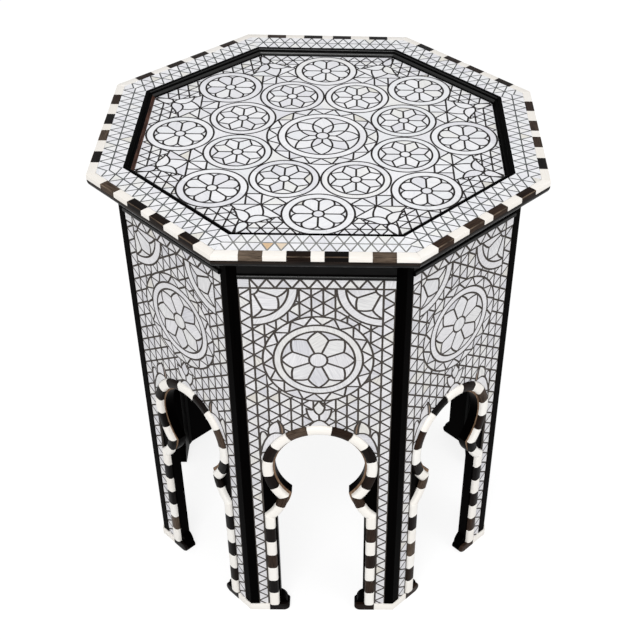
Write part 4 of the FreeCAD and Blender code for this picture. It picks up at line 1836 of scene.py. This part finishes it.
    def rim_block(self, shape: BMesh, side: int, first: float, last: float) -> None:
        """Adds one block of the rim, mitred where it reaches a corner.

        Args:
            shape: Shape that takes it.
            side: Side that it lies on.
            first: Where it starts along its side.
            last: Where it ends.
        """
        s = self.sizes
        inner, outer = s.border_edge, s.rim_edge
        low = s.height - s.rim_height
        section = through((inner, low), (outer, low), (outer, s.height), (inner, s.height))
        block = bmesh.new()
        gap = self.block_gap / 2
        add_length(block, section, first + gap, last - gap)
        for hand, end in ((-1, first), (1, last)):
            if abs(end) >= outer * TAN:
                normal = mitre_normal(hand)
                cut_off(block, block.verts[:], normal * -gap, normal)
        arris = [
            edge
            for edge in block.edges
            if all(v.co.y < TOUCH - outer and v.co.z > s.height - TOUCH for v in edge.verts)
        ]
        rounded = soften(block, arris, self.rim_round, 2)
        # The rounded arris takes the second finish; on the dark blocks it is worn wood with a painted
        # highlight.
        for face in rounded:
            face.material_index = 1
        corners = sharp_edges(block, BLOCK_CORNER)
        ends = [edge for edge in corners if not rounded.intersection(edge.link_faces)]
        soften(block, ends, self.block_ease)
        turn_shape(block, side * EIGHTH_TURN)
        add_copy(shape, block)

    def build_rim(self, bone: Material, dark: Material, wear_and_highlight: Material) -> None:
        """Makes the rim's bone blocks and dark blocks in turn.

        Args:
            bone: Material of the bone blocks.
            dark: Material of the dark blocks.
            wear_and_highlight: Material of their rounded arris, worn and with a painted highlight.
        """
        s = self.sizes
        half_middle = self.middle_block / 2
        half_side = (s.border_edge + s.rim_edge) / 2 * TAN
        step = (half_side - half_middle) / self.blocks_each_way
        places = [half_middle + step * index for index in range(self.blocks_each_way)]
        white, black = bmesh.new(), bmesh.new()
        chance = random.Random(Seed.RIM_DARK)
        tones = []
        for side in range(SIDES):
            shift = self.front_shift if side == 0 else 0.0
            cuts = [shift + place for place in (*(-place for place in reversed(places)), *places)]
            cuts = [-s.rim_edge, *cuts, s.rim_edge]
            for index, (first, last) in enumerate(zip(cuts, cuts[1:])):
                self.rim_block(black if index % 2 else white, side, first, last)
            tones += self.seen_tones[side] or [chance.random() for _ in range(self.blocks_each_way)]
        grain_blocks(white, random.Random(Seed.RIM_WHITE))
        grain_blocks(black, random.Random(Seed.RIM_DARK), tones)
        place_piece("rim_blocks_white", white, [bone, bone], ["rim_bone_blocks"], BLOCK_SMOOTH)
        place_piece("rim_blocks_dark", black, [dark, wear_and_highlight], ["rim_ebony_blocks"], BLOCK_SMOOTH)


@dataclass
class ArchBead:
    """Half-round bead of bone and dark blocks round each arch."""

    sizes: TableSizes = SIZES
    haunch_radius: float = 75.0
    cusp_drop: float = 48.0
    under_radius: float = 55.0
    knee_height: float = 178.4
    tip_block: float = 16.5
    leg_block: float = 24.45
    leg_blocks: int = 6
    crown_half_block: float = 13.0
    crown_blocks: int = 3
    spring_rise: float = 11.0
    haunch_ends: tuple[float, float] = (0.23, 0.64)
    block_gap: float = 0.12
    block_ease: float = 0.6
    arc_step: float = 8.0
    roundness: float = 0.62
    section_steps: int = 8
    mitre_allowance: float = 14.0
    tip_gap: float = 0.06
    front_tones: tuple[float, ...] = (
        *(0.72, 0.4, 0.55, 0.8, 0.78, 0.6, 0.76),
        *(0.92, 0.5, 0.35, 0.85, 0.1, 0.78, 0.3),
    )

    def section(self) -> Path:
        """Draws the half-round section of the bead, which has steep sides.

        Returns:
            Its corners, as across the bead and out from the board.
        """
        s = self.sizes
        half = s.bead_width / 2
        points = []
        for index in range(self.section_steps + 1):
            angle = math.pi * index / self.section_steps
            across = math.copysign(abs(math.cos(angle)) ** self.roundness, math.cos(angle))
            points.append(Vector((half * across, s.bead_rise * math.sin(angle) ** self.roundness)))
        return points

    def block(self, shape: BMesh, spine: Path, cuts: Sequence[tuple[Vector, Vector]] = ()) -> None:
        """Adds one block along a spine.

        Args:
            shape: Shape that takes it.
            spine: Points of its centre line, as u and height.
            cuts: Points and directions of the mitres that end it.
        """
        block = bmesh.new()
        face = self.sizes.board_front
        loops = []
        for index, point in enumerate(spine):
            before, after = spine[max(0, index - 1)], spine[min(len(spine) - 1, index + 1)]
            way = (after - before).normalized()
            side = Vector((-way.y, way.x))
            ring = [
                Vector((point.x + side.x * p.x, -face - p.y, point.y + side.y * p.x))
                for p in self.section()
            ]
            loops.append(only(add_outline(block, ring), bmesh.types.BMEdge))
        for first, last in zip(loops, loops[1:]):
            bmesh.ops.bridge_loops(block, edges=[*first, *last])
        close_holes(block)
        for point, way in cuts:
            cut_off(block, block.verts[:], Vector((point.x, 0, point.y)), Vector((way.x, 0, way.y)))
        ends = [edge for edge in block.edges if any(len(f.verts) > 4 for f in edge.link_faces)]
        soften(block, ends, self.block_ease)
        add_copy(shape, block)

    def arc(self, centre: Vector, radius: float, first: float, last: float) -> Path:
        """Spine along an arc, with angles counted clockwise from straight up."""
        return arc_about(centre, radius, 90 - first, 90 - last, self.arc_step)

    def build(self, bone: Material, dark: Material) -> None:
        """Makes the bead's blocks on the eight sides.

        Args:
            bone: Material of the bone blocks.
            dark: Material of the dark blocks.
        """
        s = self.sizes
        radius = s.bead_middle
        crown = Vector((0, s.spring))
        haunch = Vector((radius - self.haunch_radius, s.spring))
        sweep = math.degrees(math.asin(self.cusp_drop / self.haunch_radius))
        gap = math.degrees(self.block_gap / 2 / radius)
        crown_end = 90 - self.spring_rise
        step = (crown_end - self.crown_half_block) / self.crown_blocks
        crown_ends = [self.crown_half_block + step * index for index in range(self.crown_blocks + 1)]
        haunch_ends = [90 + share * sweep for share in self.haunch_ends]
        white, black = bmesh.new(), bmesh.new()
        for index in range(self.crown_blocks):
            spine = self.arc(crown, radius, crown_ends[index] + gap, crown_ends[index + 1] - gap)
            self.block(white if index % 2 else black, spine)
        spring = [
            *self.arc(crown, radius, crown_end + gap, 90),
            *self.arc(haunch, self.haunch_radius, 90, haunch_ends[0] - gap)[1:],
        ]
        self.block(white, spring)
        self.block(black, self.arc(haunch, self.haunch_radius, haunch_ends[0] + gap, haunch_ends[1] - gap))
        self.build_cusp(white, black, haunch, haunch_ends[1] + gap, 90 + sweep)
        for index in range(self.leg_blocks):
            low = s.plinth_height + self.leg_block * index + self.block_gap / 2
            spine = through((radius, low), (radius, low + self.leg_block - self.block_gap))
            self.block(black if index % 2 else white, spine)
        both_halves(white)
        both_halves(black)
        top = self.crown_half_block - gap
        self.block(white, self.arc(crown, radius, -top, top))
        for name, shape, material, slot, node, seed in (
            ("bead_blocks_white", white, bone, "bone", "arch_bone_blocks", Seed.BEAD_WHITE),
            ("bead_blocks_dark", black, dark, "ebony", "arch_ebony_blocks", Seed.BEAD_DARK),
        ):
            all_round(shape)
            chance = random.Random(seed)
            tones = [chance.random() ** DARKER for _ in islands(shape)]
            if shape is black:
                tones[: len(self.front_tones)] = self.front_tones
            grain_blocks(shape, chance, tones)
            place_piece(name, shape, [material], [node], BLOCK_SMOOTH)

    def build_cusp(self, white: BMesh, black: BMesh, haunch: Vector, first: float, last: float) -> None:
        """Adds the blocks that meet at the cusp and at the knee.

        Args:
            white: Shape that takes the bone blocks.
            black: Shape that takes the dark blocks.
            haunch: Centre of the haunch's arc.
            first: Angle where the cusp's upper block starts.
            last: Angle of the cusp.
        """
        cusp = haunch + Vector((math.sqrt(self.haunch_radius**2 - self.cusp_drop**2), -self.cusp_drop))
        knee = Vector((self.sizes.bead_middle, self.knee_height))
        radius, allowance = self.under_radius, self.mitre_allowance
        under = arc_between(cusp, knee, radius, True)
        chord = knee - cusp
        rise = math.sqrt(radius**2 - (chord.length / 2) ** 2)
        centre = cusp + chord / 2 + Vector((-chord.y, chord.x)).normalized() * rise
        at_cusp, at_knee = (
            math.degrees(math.atan2(p.y - centre.y, p.x - centre.x)) % 360 for p in (cusp, knee)
        )
        tip_end = at_cusp + math.degrees(self.tip_block / radius)
        arriving = Vector((math.cos(math.radians(last)), -math.sin(math.radians(last))))
        leaving = (under[1] - under[0]).normalized()
        mitre = (arriving + leaving).normalized()
        half_gap = mitre * self.block_gap / 2
        above = self.arc(haunch, self.haunch_radius, first, last + allowance)
        self.block(white, above, [(cusp - half_gap, mitre)])
        tip = arc_about(centre, radius, at_cusp - allowance, tip_end - self.tip_gap, self.arc_step)
        self.block(black, tip, [(cusp + half_gap, -mitre)])
        arriving = (under[-1] - under[-2]).normalized()
        mitre = (arriving + Vector((0, -1))).normalized()
        half_gap = mitre * self.block_gap / 2
        below = arc_about(centre, radius, tip_end + self.tip_gap, at_knee + allowance, self.arc_step)
        self.block(white, below, [(knee - half_gap, mitre)])
        low = self.sizes.plinth_height + self.leg_block * self.leg_blocks
        leg = through((knee.x, knee.y + self.sizes.bead_width), (knee.x, low + self.block_gap / 2))
        self.block(white, leg, [(knee + half_gap, -mitre)])


@dataclass
class Carcass:
    """Black joinery: posts, arched side boards, cornice, toes, and the strips round the foot."""

    sizes: TableSizes = SIZES
    haunch_radius: float = 61.0
    cusp_drop: float = 44.0
    under_radius: float = 62.0
    shoulder: float = 181.9
    cornice_reach: float = 8.0
    cornice_fillet: float = 2.0
    cornice_drop: float = 11.0
    cornice_cove: float = 9.0
    cornice_ease: float = 0.3
    post_ease: float = 0.7
    frieze_inset: float = 0.2
    frieze_bead: float = 6.2
    frieze_bead_radius: float = 3.12
    frieze_shine: tuple[float, float] = (0.2, 0.6)
    toe_reach: float = 10.5
    toe_height: float = 24.0
    nose_height: float = 11.0
    nose_radius: float = 6.5
    nose_inset: float = 2.8
    toe_hollow: float = 16.0
    lip_width: float = 5.0
    lip_rise: float = 0.4
    lip_spread: float = 0.5
    strip_ease: float = 0.8
    end_round: float = 2.4
    end_reach: float = 0.1

    def add_board(self, shape: BMesh, outline: Path, depth: float) -> None:
        """Adds a board that starts on the plane of the side boards' faces.

        Args:
            shape: Shape that takes it.
            outline: Its outline, as distance from the side's middle and height.
            depth: How far it goes in, or out for less than zero.
        """
        corners = [Vector((p.x, -self.sizes.board_front, p.y)) for p in outline]
        add_prism(shape, corners, Vector((0, depth, 0)))

    def opening(self) -> Path:
        """Draws the edge of the arch.

        Returns:
            Its points, from the foot of the left leg round to the foot of the right one.
        """
        s = self.sizes
        reach = s.leg_edge - self.haunch_radius + math.sqrt(self.haunch_radius**2 - self.cusp_drop**2)
        tip = Vector((-reach, s.spring - self.cusp_drop))
        left = [
            Vector((-s.leg_edge, 0)),
            *arc_between(Vector((-s.leg_edge, self.shoulder)), tip, self.under_radius, True),
            *arc_between(tip, Vector((-s.leg_edge, s.spring)), self.haunch_radius, False)[1:],
        ]
        crown = arc_about(Vector((0, s.spring)), s.leg_edge, 180, 0)[1:-1]
        return [*left, *crown, *reversed(mirrored(left))]

    def build_boards(self, wood: Material, raw: Material) -> None:
        """Makes the arched boards and the bare edge round each opening.

        Args:
            wood: Material of the boards.
            raw: Material of the bare edges.
        """
        s = self.sizes
        edge = self.opening()
        wide, high = s.board_edge, s.rail_bottom
        outline = [Vector((-wide, 0)), *edge, *through((wide, 0), (wide, high), (-wide, high))]
        boards = bmesh.new()
        self.add_board(boards, outline, s.board)
        names = numbered("side_board")
        place_piece("side_boards_black", boards, [wood], names, WOOD_SMOOTH, Seed.BOARDS)
        lip = bmesh.new()
        self.add_board(lip, self.band(edge), -self.lip_rise)
        bmesh.ops.bisect_plane(
            lip, geom=whole(lip), dist=FINE, plane_co=(0, 0, self.shoulder), plane_no=(0, 0, 1)
        )
        for face in lip.faces:
            face.material_index = int(face.calc_center_median().z < self.shoulder)
        place_piece("arch_edges_bare", all_round(lip), [raw, wood], [], WOOD_SMOOTH)

    def band(self, edge: Path) -> Path:
        """Outline of a band that follows the arch's edge on the board.

        Args:
            edge: Points of the arch's edge.

        Returns:
            Corners of the band.
        """
        far = []
        for index, point in enumerate(edge):
            before, after = edge[max(0, index - 1)], edge[min(len(edge) - 1, index + 1)]
            ways = [way.normalized() for way in (point - before, after - point) if way.length > 0]
            sides = [Vector((-way.y, way.x)) for way in ways]
            out = sum(sides, Vector((0, 0))).normalized()
            far.append(point + out * (self.lip_width / max(self.lip_spread, out.dot(sides[0]))))
        return [*edge, *reversed(far)]

    def build_posts(self, wood: Material) -> None:
        """Makes the corner posts, each with two faces that meet in a crease.

        Args:
            wood: Material of the posts.
        """
        s = self.sizes
        depth = s.setback + s.board
        cosine, sine = math.cos(CORNER_ANGLE), math.sin(CORNER_ANGLE)
        crease = s.post_front / cosine
        right = [
            Vector((along * cosine - deep * sine, along * sine + deep * cosine - crease, 0))
            for along, deep in ((s.post_face, 0), (s.post_face, depth))
        ]
        left = [Vector((-p.x, p.y, 0)) for p in reversed(right)]
        posts = bmesh.new()
        add_prism(posts, [Vector((0, -crease, 0)), *right, *left], Vector((0, 0, s.rail_bottom)))
        corners = sharp_edges(posts, POST_CORNER)
        soften(posts, [edge for edge in corners if edge.calc_length() > depth], self.post_ease, 2)
        turn_shape(posts, CORNER_ANGLE)
        names = numbered("corner_post")
        place_piece("posts_black", posts, [wood], names, seed=Seed.POSTS)

    def build_cornice(self, wood: Material, highlight_gloss: Material) -> None:
        """Makes the cornice: a hollow all round, and a frieze with a bead between the posts.

        Args:
            wood: Material of the cornice.
            highlight_gloss: Material of the painted highlight on the bead's upper side.
        """
        s = self.sizes
        low, high = s.cornice_bottom, s.rail_bottom
        top = Vector((s.post_front + self.cornice_reach, high))
        foot = Vector((s.post_front, high - self.cornice_drop))
        hollow = arc_between(top - Vector((0, self.cornice_fillet)), foot, self.cornice_cove, True)
        cornice = mitred_length([Vector((s.post_front, high)), top, *hollow], self.cornice_ease)
        front = s.post_front - self.frieze_inset
        over = Vector((front, low + self.frieze_bead))
        bead = arc_between(over, Vector((front, low)), self.frieze_bead_radius, False)
        section = [*through((s.board_front, low), (s.board_front, high), (front, high)), *bead]
        frieze = bmesh.new()
        add_length(frieze, section, -s.board_edge, s.board_edge)
        # Painted highlight: faces of the bead that tilt up and out, within the shine's range, take the
        # glossier black.
        least, most = self.frieze_shine
        for face in frieze.faces:
            face.material_index = int(face.normal.y < 0 and least < face.normal.z < most)
        add_copy(cornice, frieze)
        names = numbered("cornice")
        finishes = [wood, highlight_gloss]
        place_piece("cornice_black", cornice, finishes, names, WOOD_SMOOTH, Seed.CORNICE)

    def build_foot(self, wood: Material, bone: Material, dark: Material) -> None:
        """Makes the toes and the bone and dark strips round the foot.

        Args:
            wood: Material of the toes.
            bone: Material of the strips.
            dark: Material of their ends.
        """
        s = self.sizes
        nose = s.leg_edge - self.toe_reach + self.nose_inset
        over, sole = Vector((nose, self.nose_height)), Vector((nose, 0))
        outline = [
            Vector((s.leg_edge, 0)),
            *arc_between(Vector((s.leg_edge, self.toe_height)), over, self.toe_hollow, True),
            *arc_between(over, sole, self.nose_radius, True)[1:],
        ]
        toes = bmesh.new()
        self.add_board(toes, outline, s.board)
        both_halves(toes)
        names = ["toe_brackets"]
        place_piece("toes_black", toes, [wood], names, WOOD_SMOOTH, Seed.TOES)
        front = s.post_front + s.plinth_proud
        strips = bmesh.new()
        plan = [
            (s.veneer_cut, s.board_front + s.shell),
            (s.veneer_cut, front),
            (front * TAN, front),
            (s.post_front * TAN, s.post_front),
            (s.board_edge, s.post_front),
            (s.board_edge, s.board_front + s.shell),
        ]
        add_prism(strips, [Vector((u, -a, 0)) for u, a in plan], Vector((0, 0, s.plinth_height)))
        soften(strips, sharp_edges(strips, BLOCK_CORNER), self.strip_ease, 2)
        ends = bmesh.new()
        round_end = arc_between(Vector((nose, s.plinth_height)), sole, self.nose_radius, True)
        profile = [*through((s.veneer_cut, 0), (s.veneer_cut, s.plinth_height)), *round_end]
        self.add_board(ends, profile, s.board_front - front)
        near = self.end_reach
        round_edges = [
            edge
            for edge in ends.edges
            if all(vert.co.y < near - front and vert.co.x < nose + near for vert in edge.verts)
        ]
        soften(ends, round_edges, self.end_round, 3)
        for name, shape, material, slot, node, seed in (
            ("foot_strips_white", strips, bone, "bone", "plinth_bone_strips", Seed.FOOT_STRIPS),
            ("foot_ends_dark", ends, dark, "ebony", "plinth_ebony_ends", Seed.FOOT_ENDS),
        ):
            both_halves(shape)
            place_piece(name, shape, [material], [node], BLOCK_SMOOTH, seed)


# Studio


@dataclass(frozen=True)
class Lamp:
    """A round soft lamp, with its place and width in metres and its power in watts."""

    name: str
    place: tuple[float, float, float]
    width: float
    watts: float


@dataclass
class Studio:
    """Pale floor, soft light and the camera at the photograph's viewing angle."""

    camera_place: tuple[float, float, float] = (0.0385, -1.1755, 1.2377)
    yaw: float = -2.38
    pitch: float = 39.48
    roll: float = -2.09
    lens: float = 65.63
    sensor: float = 36.0
    shift: tuple[float, float] = (-0.1121, 0.0356)
    floor_size: float = 60.0
    floor_glow: float = 0.84
    floor_bounce: float = 0.42
    paper: str = "#888888"
    white: str = "#FFFFFF"
    fill: float = 0.68
    backdrop: float = 1.0
    aim: tuple[float, float, float] = (0.0, 0.0, 0.35)
    lamps: tuple[Lamp, ...] = (
        Lamp("key_lamp", (-0.5, -2.4, 2.6), 1.6, 42.5),
        Lamp("side_lamp", (2.2, -1.4, 2.0), 1.4, 14.0),
    )

    def build_camera(self) -> None:
        """Sets the camera."""
        data = bpy.data.cameras.new("camera")
        data.sensor_width = self.sensor
        data.lens = self.lens
        data.shift_x, data.shift_y = self.shift
        camera = bpy.data.objects.new("camera", data)
        turn = (
            Matrix.Rotation(math.radians(self.yaw), 3, "Z")
            @ Matrix.Rotation(math.radians(-self.pitch), 3, "X")
            @ Matrix.Rotation(math.radians(self.roll), 3, "Y")
        )
        right, forward, up = turn.col
        axes = Matrix((right, up, -forward)).transposed().to_4x4()
        camera.matrix_world = Matrix.Translation(self.camera_place) @ axes
        bpy.context.scene.collection.objects.link(camera)
        bpy.context.scene.camera = camera

    def strength(
        self, tree: bpy.types.NodeTree, kinds: Sequence[str], others: float, chosen: float
    ) -> bpy.types.NodeSocket:
        """Adds a strength of light that differs for some kinds of ray.

        Args:
            tree: Node tree that takes it.
            kinds: Outputs of the light path that tell those rays.
            others: Strength for all other rays.
            chosen: Strength for those rays.

        Returns:
            The output with the strength.
        """
        rays = add_node(tree, "ShaderNodeLightPath")
        seen = rays.outputs[kinds[0]]
        for kind in kinds[1:]:
            pair = {0: seen, 1: rays.outputs[kind]}
            seen = add_node(tree, "ShaderNodeMath", operation="MAXIMUM", links=pair).outputs["Value"]
        ends = {"To Min": others, "To Max": chosen}
        level = add_node(tree, "ShaderNodeMapRange", values=ends, links={"Value": seen})
        return level.outputs["Result"]

    def build_floor(self) -> None:
        """Makes the floor, which the camera sees as white with the table's shadow on it."""
        shape = bmesh.new()
        bmesh.ops.create_grid(shape, x_segments=1, y_segments=1, size=self.floor_size / 2)
        mesh = bpy.data.meshes.new("floor")
        shape.to_mesh(mesh)
        shape.free()
        # Matt paper has no shine, and its glow lifts it to white while the table's soft shadow stays.
        material = bpy.data.materials.new("backdrop_paper_matt")
        material.use_nodes = True
        tree = material.node_tree
        tree.nodes.remove(tree.nodes["Principled BSDF"])
        kinds = ("Is Camera Ray", "Is Glossy Ray", "Is Transmission Ray")
        level = self.strength(tree, kinds, self.floor_bounce, self.floor_glow)
        values = {"Color": linear(self.white)}
        glow = add_node(tree, "ShaderNodeEmission", values=values, links={"Strength": level})
        paper = add_node(tree, "ShaderNodeBsdfDiffuse", values={"Color": linear(self.paper)})
        both = add_node(
            tree, "ShaderNodeAddShader", links={0: glow.outputs["Emission"], 1: paper.outputs["BSDF"]}
        )
        tree.links.new(both.outputs["Shader"], tree.nodes["Material Output"].inputs["Surface"])
        mesh.materials.append(material)
        floor = bpy.data.objects.new("floor", mesh)
        bpy.context.scene.collection.objects.link(floor)

    def build_light(self) -> None:
        """Sets an even pale world and two soft lamps."""
        world = bpy.data.worlds.new("studio")
        world.use_nodes = True
        tree = world.node_tree
        background = tree.nodes["Background"]
        level = self.strength(tree, ("Is Camera Ray", "Is Transmission Ray"), self.fill, self.backdrop)
        background.inputs["Color"].default_value = linear(self.white)
        tree.links.new(level, background.inputs["Strength"])
        bpy.context.scene.world = world
        for lamp in self.lamps:
            data = bpy.data.lights.new(lamp.name, "AREA")
            data.shape = "DISK"
            data.size = lamp.width
            data.energy = lamp.watts
            light = bpy.data.objects.new(lamp.name, data)
            light.location = lamp.place
            way = Vector(self.aim) - Vector(lamp.place)
            light.rotation_euler = way.to_track_quat("-Z", "Y").to_euler()
            bpy.context.scene.collection.objects.link(light)

    def build(self) -> None:
        """Sets the whole studio."""
        bpy.context.scene.view_settings.view_transform = "Standard"
        self.build_camera()
        self.build_floor()
        self.build_light()


def dress_hidden_pieces(softwood: Material) -> None:
    """Gives the pieces inside the table their bare wood.

    Args:
        softwood: Material of the wood.
    """
    for node in ("top_board", "glue_blocks"):
        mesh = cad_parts[node].data
        mesh.materials.clear()
        mesh.materials.append(softwood)
        LOG.info("%s: bare wood", node)


def main() -> None:
    """Builds the table and its studio."""
    logging.basicConfig(level=logging.INFO, format="%(name)s %(message)s")
    shell, rim_bone, lighter_bone = TOP_SHELL.make(), RIM_BONE.make(), LIGHTER_BONE.make()
    dark, wear_and_highlight, raw = DARK_WOOD.make(), WORN_AND_HIGHLIT_EDGE.make(), RAW_EDGE.make()
    black, waxed, rubbed = BLACK_WOOD.make(), BLACK_MOULDING.make(), RUBBED_EDGE.make()
    SideVeneer().build(SIDE_SHELL.make(), SIDE_MASTIC.make())
    TrayFloor().build(shell, TRAY_MASTIC.make())
    top = TopFrame()
    top.build_border(shell, BORDER_MASTIC.make(), FRONT_MASTIC.make())
    top.build_rails(waxed, rubbed)
    highlight_gloss = HIGHLIGHT_GLOSS.make()
    top.build_moulding(BLACK_VARNISH.make(), RED_EDGE.make(), highlight_gloss)
    top.build_rim(rim_bone, dark, wear_and_highlight)
    ArchBead().build(lighter_bone, dark)
    carcass = Carcass()
    carcass.build_boards(black, raw)
    carcass.build_posts(black)
    carcass.build_cornice(waxed, highlight_gloss)
    carcass.build_foot(black, lighter_bone, dark)
    dress_hidden_pieces(SOFTWOOD.make())
    Studio().build()
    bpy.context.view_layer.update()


if __name__ == "__main__":
    main()
